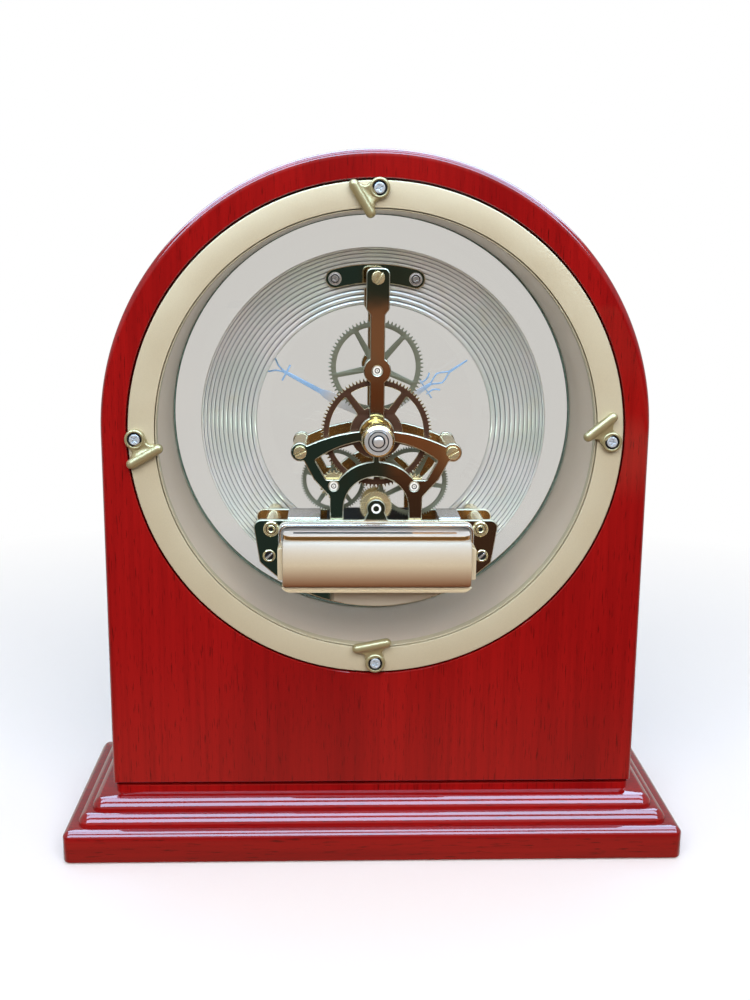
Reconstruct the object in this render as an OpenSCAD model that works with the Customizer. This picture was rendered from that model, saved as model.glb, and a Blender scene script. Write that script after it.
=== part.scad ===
// Skeleton mantel clock: arched wooden case on a stepped base, with a battery skeleton movement
// hung inside a round bore. The dial faces +Y and the open back faces -Y.
// The part stands on z = 0, and x = 0, y = 0 is the middle of the base.

/* [Base] */
// Width of the base
base_w = 192; // [186:1:200]
// Depth of the base
base_d = 72; // [70:1:80]
// Height of the bottom slab
slab_h = 10.2; // [9:0.1:10.6]
// Height of each moulded step above the slab
step_h = 3.5; // [3.2:0.1:3.6]
// How far each step is set in from the one below
step_inset = 3.8; // [3:0.1:4]

/* [Case] */
// Width of the arched case
case_w = 164.6; // [161:0.2:166]
// Depth of the arched case
case_d = 44.6; // [44.6:0.2:46]
// Height of the centre of the arch
arch_z = 132; // [131.5:0.1:134]
// Radius of the round bore lining
bore_r = 65.8; // [65.8:0.1:66]
// Outer radius of the flat ring at the back
ring_r = 74; // [73.5:0.1:74.5]

/* [Movement] */
// Height of the centre arbor
axis_z = 131.4; // [131:0.1:131.8]
// Thickness of the movement plates
plate_t = 1.5; // [1.3:0.1:1.5]
// Outer radius of the chapter ring
chapter_r = 55.3; // [55:0.1:56]
// Length of the minute hand
minute_l = 47; // [42:1:48]
// Length of the hour hand
hour_l = 36; // [30:1:36]

/* [Clips] */
// Distance of the clip screws from the centre of the bore
clip_r = 71.7; // [71.5:0.1:71.8]
// Distance from the screw to the bar of a clip
clip_reach = 5.8; // [5.7:0.1:6.1]

/* [Hidden] */
$fn = 64;
eps = 0.05;                     // overshoot of a cutting tool

// Base levels
felt_t = 0.5;
base_top = slab_h + 2 * step_h;
corner_r = 2.2;                 // rounded upright corners of the base
plinth_h = 3;                   // recessed strip between base and case
plinth_in = 0.4;
case_z = base_top + plinth_h;
screw_x = 55;
screw_y = 12;

// Case and bore
case_r = case_w / 2;
rear_y = -case_d / 2;
front_y = case_d / 2;
edge_r = 2;                     // rounding of the case's outer edges
lining_t = 1.2;
bore_hole_r = bore_r + lining_t + 0.1;
ring_proud = 0.3;
ring_t = 1.5;
ring_y = rear_y - ring_proud;
lip_d = 4.4;                    // depth of the ring's inner lip
ring_seat_r = ring_r + 0.8;
glass_t = 2.5;
glass_y = 19.6;                 // rear face of the glass disc
bezel_r = 76;
bezel_t = 2.6;

// Depth stations of the movement, each the rear face of the layer
plate_y = -19;
near_y = plate_y - plate_t;
far_y = -5;
front_plate_y = 3.9;
chapter_y = front_plate_y + plate_t;
chapter_t = 1.5;
chapter_in = 37.6;
module_hw = 37.6;                // half width of the bottom plates at their top corners
centre_wheel_y = -16.2;
left_wheel_y = -9;
right_wheel_y = -11;
top_wheel_y = -7.3;
drive_wheel_y = -17.2;
wheel_t = 1;

// Gears: module, teeth, and where each arbor stands relative to the centre arbor
centre_teeth = 90;
centre_m = 0.367;
top_teeth = 14;
left_teeth = 22;
right_teeth = 18;
top_wheel_teeth = 72;
top_wheel_m = 0.397;
left_wheel_teeth = 75;
left_wheel_m = 0.265;
right_wheel_teeth = 82;
lower_teeth = 35;
drive_teeth = 48;
rotor_teeth = 12;
drive_m = 0.2;
cannon_teeth = 12;
minute_teeth = 36;
cannon_m = 0.3125;
minute_pinion_teeth = 10;
hour_teeth = 40;
hour_m = 0.3;
left_dir = 231;                 // directions of the side arbors from the centre
right_dir = 305.7;
top_dir = 90;
top_d = centre_m * (centre_teeth + top_teeth) / 2;
left_d = centre_m * (centre_teeth + left_teeth) / 2;
right_d = centre_m * (centre_teeth + right_teeth) / 2;
top_p = polar(top_d, top_dir);
left_p = polar(left_d, left_dir);
right_p = polar(right_d, right_dir);
// The lower arbor stands below the centre, one mesh away from the left arbor
lower_mesh = left_wheel_m * (left_wheel_teeth + lower_teeth) / 2;
lower_p = [0, left_p[1] - sqrt(lower_mesh * lower_mesh - left_p[0] * left_p[0])];
lower_dir = atan2(lower_p[1] - left_p[1], lower_p[0] - left_p[0]);
rotor_p = [0, lower_p[1] - drive_m * (drive_teeth + rotor_teeth) / 2];
motion_d = cannon_m * (cannon_teeth + minute_teeth) / 2;
minute_p = [0, -motion_d];

// Shafts and pivots
shaft_r = 0.8;
pivot_r = 0.42;
pivot_hole_r = 0.48;
bush_r = 1.45;
centre_shaft_r = 1;
centre_hole_r = 1.06;
cannon_r = 1.5;
hour_pipe_r = 2.1;
hour_pipe_in = 1.57;

// Rear plate outline, relative to the centre arbor
strap_top = 49.2;
strap_screw_z = 46.35;
strap_hw = 2.4;
strap_head_hw = 3.5;
strap_neck_z = 36.5;
strap_boss_r = 4.05;
hub_r = 5.35;
arm_end = [23.1, -5.6];
arm_end_r = 2.85;
arch_c = -23;
arch_r = 10;
leg_hw = 14.2;
leg_z = -31;
bridge_r = 14.6;

// Bottom module
module_top = -26.2;
module_arc_r = 53.6;
post_p = [31.9, -28.9];
low_post_p = [32.6, -37.4];
post_r = 2.4;
boss_tab_r = 2.6;

// Battery: cell, tray and cover share one centre height
cell_r = 7.1;
cell_l = 50;
cell_y = -26.9;
cell_h = -35.7;                 // height of the cell's axis from the centre arbor
tray_hw = 29.6;
tray_hh = 8.9;
tray_wall = 1.2;
tray_wall_v = 0.8;             // upper and lower walls
tray_y = -31.2;                 // open rear edge of the tray
tray_chamfer = 1.6;
cell_slot_hw = 26;
cell_slot_hh = 4.3;
cover_y = -28.9;
cover_gap = 0.15;
cover_t = 0.6;
cover_hh = tray_hh - tray_wall_v - cover_gap;
cover_hw = tray_hw - tray_wall - cover_gap;
cover_arc_r = 14;

// Knob
knob_y = -34.9;
knob_l = 8;
knob_r = 4.85;

// Time shown, in degrees from upright as seen from the back
hour_a = 33.3;
minute_a = 151.8;

// Resting direction of each clip, from its screw to its bar, seen from the back
clip_top_a = -148.5;
clip_left_a = -60.5;
clip_right_a = 129.5;
clip_bottom_a = 101.3;

function polar(r, a) = [r * cos(a), r * sin(a)];

// Clip screws as seen in the photo: top, left, right, bottom
clip_seats = [
    polar(clip_r, 90),
    polar(clip_r + 0.1, 180.9),
    polar(clip_r - 1.3, -1.1),
    polar(clip_r - 0.9, 270)
];

// Tooth phase of gear b that meshes with gear a standing in direction psi from a
function mesh_phase(psi, n_a, phase_a, n_b) =
    psi + 180 - 360 / n_b * (0.5 - (psi - phase_a) * n_a / 360);

// Points of one tooth: root, tip, tip, root
function tooth_points(n, m, a) = let (
    pitch = 360 / n,
    root_r = m * (n / 2 - 1.25),
    tip_r = m * (n / 2 + 0.95)
) [
    polar(root_r, a - 0.29 * pitch),
    polar(tip_r, a - 0.08 * pitch),
    polar(tip_r, a + 0.08 * pitch),
    polar(root_r, a + 0.29 * pitch)
];

// Spreads its children along Y, from y0 towards +Y, with the drawing seen from the back
module slab(y0, t) {
    translate([0, y0 + t, axis_z]) rotate([90, 0, 0]) linear_extrude(t) children();
}

module rod(p, y0, y1, r) {
    translate([p[0], y0, axis_z + p[1]]) rotate([-90, 0, 0]) cylinder(h = y1 - y0, r = r);
}

module ring_solid(y0, y1, r_out, r_in) {
    difference() {
        rod([0, 0], y0, y1, r_out);
        rod([0, 0], y0 - eps, y1 + eps, r_in);
    }
}

module gear_2d(n, m, phase) {
    polygon([for (i = [0 : n - 1]) each tooth_points(n, m, phase + i * 360 / n)]);
}

// Wheel with a toothed rim, spokes and a hub, bored for its arbor
module spoked_2d(n, m, phase, rim_r, hub, spokes, spoke_w, spoke_a, bore) {
    difference() {
        gear_2d(n, m, phase);
        difference() {
            circle(r = rim_r, $fn = 12 * spokes);
            circle(r = hub, $fn = 60);
            for (i = [0 : spokes - 1])
                rotate(spoke_a + i * 360 / spokes)
                    translate([0, -spoke_w / 2]) square([rim_r + 1, spoke_w]);
        }
        circle(r = bore, $fn = 12);
    }
}

module pinion(p, y0, y1, n, m, phase) {
    slab(y0, y1 - y0) translate(p) gear_2d(n, m, phase);
}

// Arbor between the two plates, thinned at both ends to run in the bushings
module arbor(p, y0, y1) {
    rod(p, y0, y1, shaft_r);
    rod(p, y0 - plate_t, y0, pivot_r);
    rod(p, y1, y1 + plate_t, pivot_r);
}

// ---------- case ----------

module base_tier(inset, z0, h) {
    w = base_w - 2 * inset;
    d = base_d - 2 * inset;
    translate([-w / 2, -d / 2, z0]) linear_extrude(h) union() {
        translate([corner_r, 0]) square([w - 2 * corner_r, d]);
        translate([0, corner_r]) square([w, d - 2 * corner_r]);
        for (x = [corner_r, w - corner_r], y = [corner_r, d - corner_r])
            translate([x, y]) circle(r = corner_r);
    }
}

module base_plinth() {
    color("firebrick") difference() {
        union() {
            base_tier(0, felt_t, slab_h - felt_t);
            base_tier(step_inset, slab_h, step_h);
            base_tier(2 * step_inset, slab_h + step_h, step_h);
        }
        for (x = [-screw_x, screw_x], y = [-screw_y, screw_y])
            translate([x, y, 0]) {
                cylinder(h = base_top + 1, r = 2.1);
                cylinder(h = 5, r = 4.4);
            }
    }
}

module base_screws() {
    color("gray") for (x = [-screw_x, screw_x], y = [-screw_y, screw_y])
        translate([x, y, 0]) difference() {
            union() {
                translate([0, 0, 3]) cylinder(h = 2, r = 4);
                translate([0, 0, 5]) cylinder(h = 21, r = 2);
            }
            for (a = [0, 90])
                rotate(a) translate([-2.2, -0.4, 2]) cube([4.4, 0.8, 2]);
        }
}

module felt_feet() {
    color("darkgreen") for (x = [-1, 1], y = [-1, 1])
        translate([x * (base_w / 2 - 14), y * (base_d / 2 - 14), 0]) cylinder(h = felt_t, r = 8);
}

// Half outline of the case's section, with its outer edges rounded
module case_section() {
    hull_n = 8;
    polygon(concat(
        [[0, rear_y]],
        [for (i = [0 : hull_n]) [case_r - edge_r, rear_y + edge_r]
            + polar(edge_r, -90 + 90 * i / hull_n)],
        [for (i = [0 : hull_n]) [case_r - edge_r, front_y - edge_r]
            + polar(edge_r, 90 * i / hull_n)],
        [[0, front_y]]
    ));
}

module case_body() {
    color("firebrick") difference() {
        union() {
            translate([0, 0, arch_z]) rotate([90, 0, 0])
                rotate_extrude(angle = 180) mirror([0, 1]) case_section();
            for (s = [0, 1])
                translate([0, 0, case_z]) mirror([s, 0, 0])
                    linear_extrude(arch_z - case_z) case_section();
            translate([-case_r + plinth_in, rear_y + plinth_in, base_top])
                cube([case_w - 2 * plinth_in, case_d - 2 * plinth_in, plinth_h + 1]);
        }
        rod([0, 0], rear_y - 1, front_y + 1, bore_hole_r);
        rod([0, 0], rear_y - 1, ring_y + ring_t + eps, ring_seat_r);
        for (p = clip_seats)
            rod(p, rear_y - 1, rear_y + 11, 0.95);
        for (x = [-screw_x, screw_x], y = [-screw_y, screw_y])
            translate([x, y, base_top - 1]) cylinder(h = 11, r = 2.05);
    }
}

module tube_sleeve() {
    color("tan") ring_solid(ring_y + lip_d, front_y, bore_r + lining_t, bore_r);
}

module rear_ring() {
    color("burlywood") difference() {
        union() {
            ring_solid(ring_y, ring_y + ring_t, ring_r, bore_r - 0.2);
            ring_solid(ring_y + ring_t, ring_y + lip_d, bore_r + lining_t, bore_r - 0.2);
        }
        for (p = clip_seats)
            rod(p, ring_y - 1, ring_y + ring_t + 1, 1);
    }
}

module front_bezel() {
    color("gold") ring_solid(front_y, front_y + bezel_t, bezel_r, bore_r);
}

module dial_glass() {
    color("lightcyan", 0.4) difference() {
        rod([0, 0], glass_y, glass_y + glass_t, bore_r);
        for (a = [45 : 90 : 315])
            rod(polar(dial_post_r, a), glass_y - 1, glass_y + glass_t + 1, 1.1);
    }
}

// ---------- clips ----------

clip_y = ring_y - eps;          // the clips sit just off the ring
clip_t = 1.4;
eye_r = 3.05;
eye_h = 2;
head_r = 1.6;
head_seat_r = 2.2;
bar_r = 1.5;
bar_hl = 4.6;

module clip_at(p, turn) {
    translate([p[0], clip_y, axis_z + p[1]]) rotate([90, 0, 0]) rotate(turn) clip();
}

// One cast clip: eye, flared web and half-round bar, drawn from its seat upwards
module clip() {
    color("darkgoldenrod") difference() {
        union() {
            cylinder(h = eye_h, r = eye_r);
            linear_extrude(clip_t) polygon([
                [0, -3], [1.8, -2.7], [3, -2.9], [3.9, -3.8], [4.5, -5], [clip_reach, -5.6],
                [clip_reach, 5.6], [4.5, 5], [3.9, 3.8], [3, 2.9], [1.8, 2.7], [0, 3]
            ]);
            intersection() {
                translate([clip_reach, 0, bar_r - 0.1]) union() {
                    translate([0, -bar_hl, 0]) rotate([-90, 0, 0])
                        cylinder(h = 2 * bar_hl, r = bar_r);
                    for (s = [-1, 1]) translate([0, s * bar_hl, 0]) sphere(r = bar_r);
                }
                translate([0, -10, 0]) cube([20, 20, 10]);
            }
        }
        translate([0, 0, -1]) cylinder(h = eye_h + 2, r = 1.02);
        translate([0, 0, eye_h - 0.9]) cylinder(h = 2, r = head_seat_r);
    }
}

module clip_top() { clip_at(clip_seats[0], clip_top_a); }
module clip_left() { clip_at(clip_seats[1], clip_left_a); }
module clip_right() { clip_at(clip_seats[2], clip_right_a); }
module clip_bottom() { clip_at(clip_seats[3], clip_bottom_a); }

module clip_screws() {
    head_y = clip_y - eye_h + 0.9 - eps;
    color("silver") for (p = clip_seats) difference() {
        union() {
            rod(p, head_y - 0.9, head_y, head_r);
            rod(p, head_y, rear_y + 10, 0.92);
        }
        translate([p[0], head_y - 0.9, axis_z + p[1]])
            rotate([0, 45, 0]) {
                cube([2, 0.8, 0.45], center = true);
                cube([0.45, 0.8, 2], center = true);
            }
    }
}

// ---------- dial ----------

dial_post_r = 51.5;

// Concentric ridges on the back of the chapter ring, closer together outwards
ridge_n = 14;
function ridge_r(i) = chapter_in + (chapter_r - chapter_in)
    * (1 - pow(1 - i / ridge_n, 1.25));

module chapter_ring() {
    color("silver") difference() {
        translate([0, chapter_y, axis_z]) rotate([-90, 0, 0]) rotate_extrude()
            polygon(concat(
                [[chapter_in, chapter_t]],
                [for (i = [0 : ridge_n - 1]) each [
                    [ridge_r(i), 0.45],
                    [ridge_r(i) * 0.35 + ridge_r(i + 1) * 0.65, 0]
                ]],
                [[chapter_r, 0.3], [chapter_r, chapter_t]]
            ));
        for (a = [45 : 90 : 315])
            rod(polar(dial_post_r, a), chapter_y + 0.7, chapter_y + chapter_t + 1, 1.1);
    }
}

module hour_markers() {
    color("black") for (i = [0 : 11])
        slab(chapter_y + chapter_t, 0.6) rotate(i * 30)
            translate([39.4, i % 3 == 0 ? -1.2 : -0.6]) square([9, i % 3 == 0 ? 2.4 : 1.2]);
}

module dial_posts() {
    color("gold") for (a = [45 : 90 : 315]) {
        rod(polar(dial_post_r, a), chapter_y + chapter_t, glass_y, 2);
        rod(polar(dial_post_r, a), chapter_y + 0.8, chapter_y + chapter_t, 1.1);
    }
}

module dial_screws() {
    color("gold") for (a = [45 : 90 : 315]) {
        rod(polar(dial_post_r, a), glass_y + glass_t, glass_y + glass_t + 1, 2.2);
        rod(polar(dial_post_r, a), glass_y, glass_y + glass_t, 1);
    }
}

// ---------- movement plates ----------

bracket_r = 47.2;
bracket_hw = 3;
bracket_a = 15.5;

module top_bracket() {
    color("gold") slab(front_plate_y, plate_t) difference() {
        union() {
            intersection() {
                difference() {
                    circle(r = bracket_r + bracket_hw);
                    circle(r = bracket_r - bracket_hw);
                }
                polygon([[0, 0], polar(60, 90 - bracket_a), [0, 70], polar(60, 90 + bracket_a)]);
            }
            for (s = [-1, 1])
                translate(polar(bracket_r, 90 + s * bracket_a)) circle(r = bracket_hw);
        }
        for (s = [-1, 1])
            translate(polar(bracket_r, 90 + s * bracket_a)) circle(r = 1.15);
    }
}

module bracket_screws() {
    color("silver") for (s = [-1, 1]) {
        p = polar(bracket_r, 90 + s * bracket_a);
        rod(p, front_plate_y - 1, front_plate_y, 1.9);
        rod(p, front_plate_y, chapter_y, 1.1);
    }
}

module top_post() {
    color("gold") rod([0, strap_screw_z], plate_y + plate_t, front_plate_y, 2.3);
}

module slotted_screw(p, head, r) {
    difference() {
        union() {
            rod(p, plate_y - head, plate_y, r);
            rod(p, plate_y, plate_y + plate_t, 1.15);
        }
        translate([p[0], plate_y - head, axis_z + p[1]]) rotate([0, 28, 0])
            cube([2 * r + 1, 0.9, 0.6], center = true);
    }
}

module plate_screws() {
    color("gold") {
        slotted_screw([0, strap_screw_z], 1.1, 1.95);
        for (s = [-1, 1]) slotted_screw([s * arm_end[0], arm_end[1]], 1.1, 1.95);
    }
}

// Window between an arm and the arch bridge
module window_2d() {
    difference() {
        intersection() {
            translate([0, -32.9]) circle(r = 31);
            polygon([[1, 0], [19, -3], [19, -7.4], [15.1, -14.4], [10.9, -14.4], [1, -6.5]]);
        }
        translate([0, arch_c]) circle(r = bridge_r);
        circle(r = hub_r + 0.2);
        translate(right_p) circle(r = 2.1);
    }
}

// Outline shared by both movement plates
module plate_2d(foot_z) {
    difference() {
        union() {
            translate([-strap_hw, 0]) square([2 * strap_hw, strap_neck_z + 1]);
            polygon([
                [-strap_hw, strap_neck_z - 1.4], [strap_hw, strap_neck_z - 1.4],
                [strap_head_hw, strap_neck_z + 0.4], [strap_head_hw, strap_top - 2],
                [strap_head_hw - 2, strap_top], [-strap_head_hw + 2, strap_top],
                [-strap_head_hw, strap_top - 2], [-strap_head_hw, strap_neck_z + 0.4]
            ]);
            for (s = [-1, 1]) translate([s * (strap_head_hw - 2), strap_top - 2]) circle(r = 2);
            translate(top_p) circle(r = strap_boss_r);
            circle(r = hub_r);
            intersection() {
                translate([0, -47.9]) circle(r = 49.2);
                polygon([
                    [-24, 3], [24, 3], [24, -6], [22.3, -9], [19.1, -14], [16.4, -17],
                    [leg_hw, -19.2], [leg_hw, foot_z], [-leg_hw, foot_z], [-leg_hw, -19.2],
                    [-16.4, -17], [-19.1, -14], [-22.3, -9], [-24, -6]
                ]);
            }
            for (s = [-1, 1]) translate([s * arm_end[0], arm_end[1]]) circle(r = arm_end_r);
        }
        translate([0, arch_c]) circle(r = arch_r);
        translate([-arch_r, foot_z - 1]) square([2 * arch_r, arch_c - foot_z + 1]);
        for (s = [0, 1]) mirror([s, 0]) window_2d();
        circle(r = 1.6);
        for (p = [top_p, left_p, right_p]) translate(p) circle(r = bush_r);
        for (s = [-1, 1]) translate([s * arm_end[0], arm_end[1]]) circle(r = 1.2);
        translate([0, strap_screw_z]) circle(r = 1.2);
    }
}

module rear_plate() { color("gold") slab(plate_y, plate_t) plate_2d(leg_z); }

module front_plate() {
    color("goldenrod") slab(front_plate_y, plate_t) difference() {
        union() {
            intersection() {
                plate_2d(-45);
                translate([-40, -60]) square([80, 60 + bracket_r - bracket_hw - 0.3]);
            }
            translate([-leg_hw, -45]) square([2 * leg_hw, 6]);
            translate([-2, minute_p[1] - 2]) square([4, 5]);
        }
        circle(r = 1.6);
        translate(minute_p) circle(r = pivot_hole_r + 0.1);
    }
}

module arm_pillars() {
    color("gold") for (s = [-1, 1])
        rod([s * arm_end[0], arm_end[1]], plate_y + plate_t, front_plate_y, 2.5);
}

// Jewelled bushings that carry the arbor ends, in the plates and in the boss tabs
module bushing(p, y0, hole) {
    difference() {
        rod(p, y0, y0 + plate_t, bush_r);
        rod(p, y0 - 1, y0 + plate_t + 1, hole);
    }
}

module pivot_bushings() {
    color("white") {
        for (p = [top_p, left_p, right_p], y = [plate_y, front_plate_y])
            bushing(p, y, pivot_hole_r);
        for (y = [near_y, far_y]) bushing(lower_p, y, pivot_hole_r);
        for (y = [plate_y, front_plate_y]) difference() {
            rod([0, 0], y, y + plate_t, 1.6);
            rod([0, 0], y - 1, y + plate_t + 1, centre_hole_r);
        }
    }
}

module module_plate_2d(round_bottom) {
    difference() {
        union() {
            intersection() {
                circle(r = module_arc_r);
                polygon([
                    [-module_hw, module_top], [module_hw, module_top], [35.5, -39.6], [31, -43.6],
                    [31, round_bottom], [-31, round_bottom], [-31, -43.6], [-35.5, -39.6]
                ]);
            }
            translate(lower_p) circle(r = boss_tab_r);
            polygon([
                [-3.6, module_top - 1], [3.6, module_top - 1], [2.2, lower_p[1]],
                [-2.2, lower_p[1]]
            ]);
        }
        translate(lower_p) circle(r = bush_r);
        translate([-cell_slot_hw, cell_h - cell_slot_hh])
            square([2 * cell_slot_hw, 2 * cell_slot_hh]);
        for (s = [-1, 1]) {
            translate([s * post_p[0], post_p[1]]) circle(r = 1.25);
            translate([s * low_post_p[0], low_post_p[1]]) circle(r = 1.25);
        }
        for (s = [-1, 1]) translate([s * module_hw, module_top]) rotate(45) square(2.2, center = true);
    }
}

module bottom_plate_rear() {
    color("gold") slab(near_y, plate_t) module_plate_2d(-60);
}

module bottom_plate_front() {
    color("goldenrod") slab(far_y, plate_t) module_plate_2d(-44);
}

// Posts that carry the bottom module on the chapter ring; the upper pair runs through
module bottom_posts() {
    color("gold") for (s = [-1, 1]) {
        rod([s * post_p[0], post_p[1]], plate_y, far_y, post_r);
        rod([s * low_post_p[0], low_post_p[1]], plate_y, far_y, post_r);
        rod([s * post_p[0], post_p[1]], far_y + plate_t, chapter_y, post_r);
        rod([s * low_post_p[0], low_post_p[1]], far_y + plate_t, chapter_y, post_r);
        for (p = [post_p, low_post_p]) {
            rod([s * p[0], p[1]], near_y, plate_y, 1.2);
            rod([s * p[0], p[1]], far_y, far_y + plate_t, 1.2);
        }
    }
}

module post_nuts() {
    color("gold") for (s = [-1, 1]) {
        difference() {
            rod([s * post_p[0], post_p[1]], near_y - 1.4, near_y, 2.1);
            rod([s * post_p[0], post_p[1]], near_y - 2, near_y - 0.2, 0.95);
        }
        difference() {
            rod([s * low_post_p[0], low_post_p[1]], near_y - 0.5, near_y, 1.65);
            translate([s * low_post_p[0], near_y - 0.5, axis_z + low_post_p[1]])
                rotate([0, 40, 0]) cube([4, 0.5, 0.5], center = true);
        }
    }
}

module spacer_blocks() {
    color("silver") {
        translate([-27, plate_y, axis_z - 35.4]) cube([10, far_y - plate_y, 9.6]);
        translate([19.3, plate_y, axis_z - 35.4]) cube([6.7, far_y - plate_y, 9.6]);
    }
}

// ---------- going train ----------

module centre_arbor() {
    color("gold") {
        rod([0, 0], knob_y + 4, minute_hand_y + 1.4, centre_shaft_r);
        rod([0, 0], plate_y + plate_t + 0.1, centre_wheel_y, 3.4);
    }
}

module centre_wheel() {
    color("peru") slab(centre_wheel_y, wheel_t)
        spoked_2d(centre_teeth, centre_m, 0, 14.5, 8, 5, 2.1, 55, centre_shaft_r / cos(15));
}

// Knurled setting knob on a stepped stem
module set_knob() {
    color("gold") difference() {
        union() {
            rod([0, 0], knob_y, knob_y + 1.2, 1.7);
            rod([0, 0], knob_y + 1, knob_y + 2, 3.5);
            slab(knob_y + 1.6, knob_l - 2.4) polygon([
                for (i = [0 : 119]) polar(i % 2 == 0 ? knob_r : knob_r - 0.25, i * 3)
            ]);
            rod([0, 0], knob_y + knob_l - 1, knob_y + knob_l, 4.2);
            rod([0, 0], knob_y + knob_l, plate_y - 0.3, 2.4);
        }
        rod([0, 0], knob_y + 4, plate_y, centre_shaft_r);
    }
}

module top_arbor() {
    color("gold") {
        arbor(top_p, plate_y + plate_t, front_plate_y);
        pinion(top_p, centre_wheel_y - 0.4, centre_wheel_y + wheel_t + 0.4, top_teeth, centre_m,
            mesh_phase(top_dir, centre_teeth, 0, top_teeth));
    }
}

module top_wheel() {
    color("silver") slab(top_wheel_y, wheel_t) translate(top_p)
        spoked_2d(top_wheel_teeth, top_wheel_m, 0, 12.2, 4.5, 5, 1.8, 48, shaft_r / cos(15));
}

module left_arbor() {
    color("gold") {
        arbor(left_p, plate_y + plate_t, front_plate_y);
        pinion(left_p, centre_wheel_y - 0.4, centre_wheel_y + wheel_t + 0.4, left_teeth,
            centre_m, mesh_phase(left_dir, centre_teeth, 0, left_teeth));
    }
}

module left_wheel() {
    color("silver") slab(left_wheel_y, wheel_t) translate(left_p)
        spoked_2d(left_wheel_teeth, left_wheel_m, 0, 8.5, 3.2, 5, 1.5, 20, shaft_r / cos(15));
}

module right_arbor() {
    color("gold") {
        arbor(right_p, plate_y + plate_t, front_plate_y);
        pinion(right_p, centre_wheel_y - 0.4, centre_wheel_y + wheel_t + 0.4, right_teeth,
            centre_m, mesh_phase(right_dir, centre_teeth, 0, right_teeth));
    }
}

module right_wheel() {
    color("silver") slab(right_wheel_y, wheel_t) translate(right_p)
        spoked_2d(right_wheel_teeth, left_wheel_m, 0, 9.3, 3.2, 5, 1.6, 63, shaft_r / cos(15));
}

module lower_arbor() {
    color("gold") arbor(lower_p, plate_y, far_y);
}

lower_phase = mesh_phase(lower_dir, left_wheel_teeth, 0, lower_teeth);

module lower_wheel() {
    color("gold") slab(left_wheel_y, wheel_t) translate(lower_p) difference() {
        gear_2d(lower_teeth, left_wheel_m, lower_phase);
        circle(r = shaft_r / cos(15), $fn = 12);
    }
}

module drive_wheel() {
    color("gold") slab(drive_wheel_y, 0.8) translate(lower_p) difference() {
        gear_2d(drive_teeth, drive_m, 0);
        circle(r = shaft_r / cos(15), $fn = 12);
    }
}

// Motor rotor: a round magnet with a small pinion, between the bottom plates
module rotor() {
    color("dimgray") {
        rod(rotor_p, -7.6, -5.6, 2.2);
        rod(rotor_p, plate_y + 0.1, far_y - 0.1, 0.48);
        slab(drive_wheel_y - 0.2, 1.2) translate(rotor_p)
            gear_2d(rotor_teeth, drive_m, mesh_phase(-90, drive_teeth, 0, rotor_teeth));
    }
}

// ---------- motor ----------

stator_y = -7;

module stator() {
    color("gray") for (s = [-1, 1]) rod([s * 12, rotor_p[1] - 3], stator_y + 0.8, far_y, 1.5);
    color("gray") slab(stator_y, 0.8) difference() {
        translate([-15, rotor_p[1] - 13]) square([30, 16.4]);
        translate(rotor_p) circle(r = 2.5);
        translate([-7.5, rotor_p[1] - 11]) square([15, 7.4]);
    }
}

module coil() {
    color("chocolate") translate([-8, stator_y - 3.1, axis_z + rotor_p[1] - 7.3])
        rotate([0, 90, 0]) {
            cylinder(h = 16, r = 2.8);
            for (x = [-0.9, 16]) translate([0, 0, x]) cylinder(h = 0.9, r = 3.1);
        }
}

module circuit_board() {
    color("darkgreen") {
        for (s = [-1, 1]) rod([s * 12, -41.6], plate_y, -17, 1);
        translate([-14, -17, axis_z - 43.4]) cube([28, 1, 12]);
        translate([-3, -16, axis_z - 42]) cube([6, 1.2, 4]);
    }
}

// ---------- motion work and hands ----------

cannon_y = chapter_y + 0.4;
hour_wheel_y = cannon_y + 1.6;
hour_hand_y = 10;
minute_hand_y = 12.4;

module cannon_pinion() {
    color("gold") {
        difference() {
            rod([0, 0], cannon_y + 1, minute_hand_y, cannon_r);
            rod([0, 0], cannon_y, minute_hand_y + 1, centre_shaft_r);
        }
        slab(cannon_y, 1) difference() {
            gear_2d(cannon_teeth, cannon_m, 0);
            circle(r = centre_shaft_r / cos(15), $fn = 12);
        }
    }
}

minute_phase = mesh_phase(-90, cannon_teeth, 0, minute_teeth);

module minute_wheel() {
    color("gold") {
        slab(cannon_y, 0.8) translate(minute_p) gear_2d(minute_teeth, cannon_m, minute_phase);
        slab(cannon_y + 0.8, 1.7) translate(minute_p)
            gear_2d(minute_pinion_teeth, hour_m, 0);
        rod(minute_p, front_plate_y, cannon_y, pivot_r);
    }
}

module hour_wheel() {
    phase = mesh_phase(90, minute_pinion_teeth, 0, hour_teeth);
    color("gold") {
        slab(hour_wheel_y, 0.7) difference() {
            gear_2d(hour_teeth, hour_m, phase);
            circle(r = hour_pipe_r - 0.1);
        }
        difference() {
            rod([0, 0], hour_wheel_y, hour_hand_y + 0.6, hour_pipe_r);
            rod([0, 0], hour_wheel_y - 1, hour_hand_y + 2, hour_pipe_in);
        }
    }
}

// Hollow diamond along +X from x0 to x1, hw wide at its widest point xm
module diamond_2d(x0, xm, x1, hw, t) {
    difference() {
        polygon([[x0, 0], [xm, -hw], [x1, 0], [xm, hw]]);
        polygon([[x0 + 2.2 * t, 0], [xm, t - hw], [x1 - 2.2 * t, 0], [xm, hw - t]]);
    }
}

// Pair of curled side branches that leave the stem at x
module branches_2d(x, r, t) {
    for (s = [-1, 1]) translate([x, s * r]) intersection() {
        difference() {
            circle(r = r + t / 2);
            circle(r = r - t / 2);
        }
        polygon([[0, -s * t], [0, -s * 2 * r], [2 * r, -s * 2 * r], [2 * r, s * 0.3 * r]]);
    }
}

hand_line = 0.75;

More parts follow.
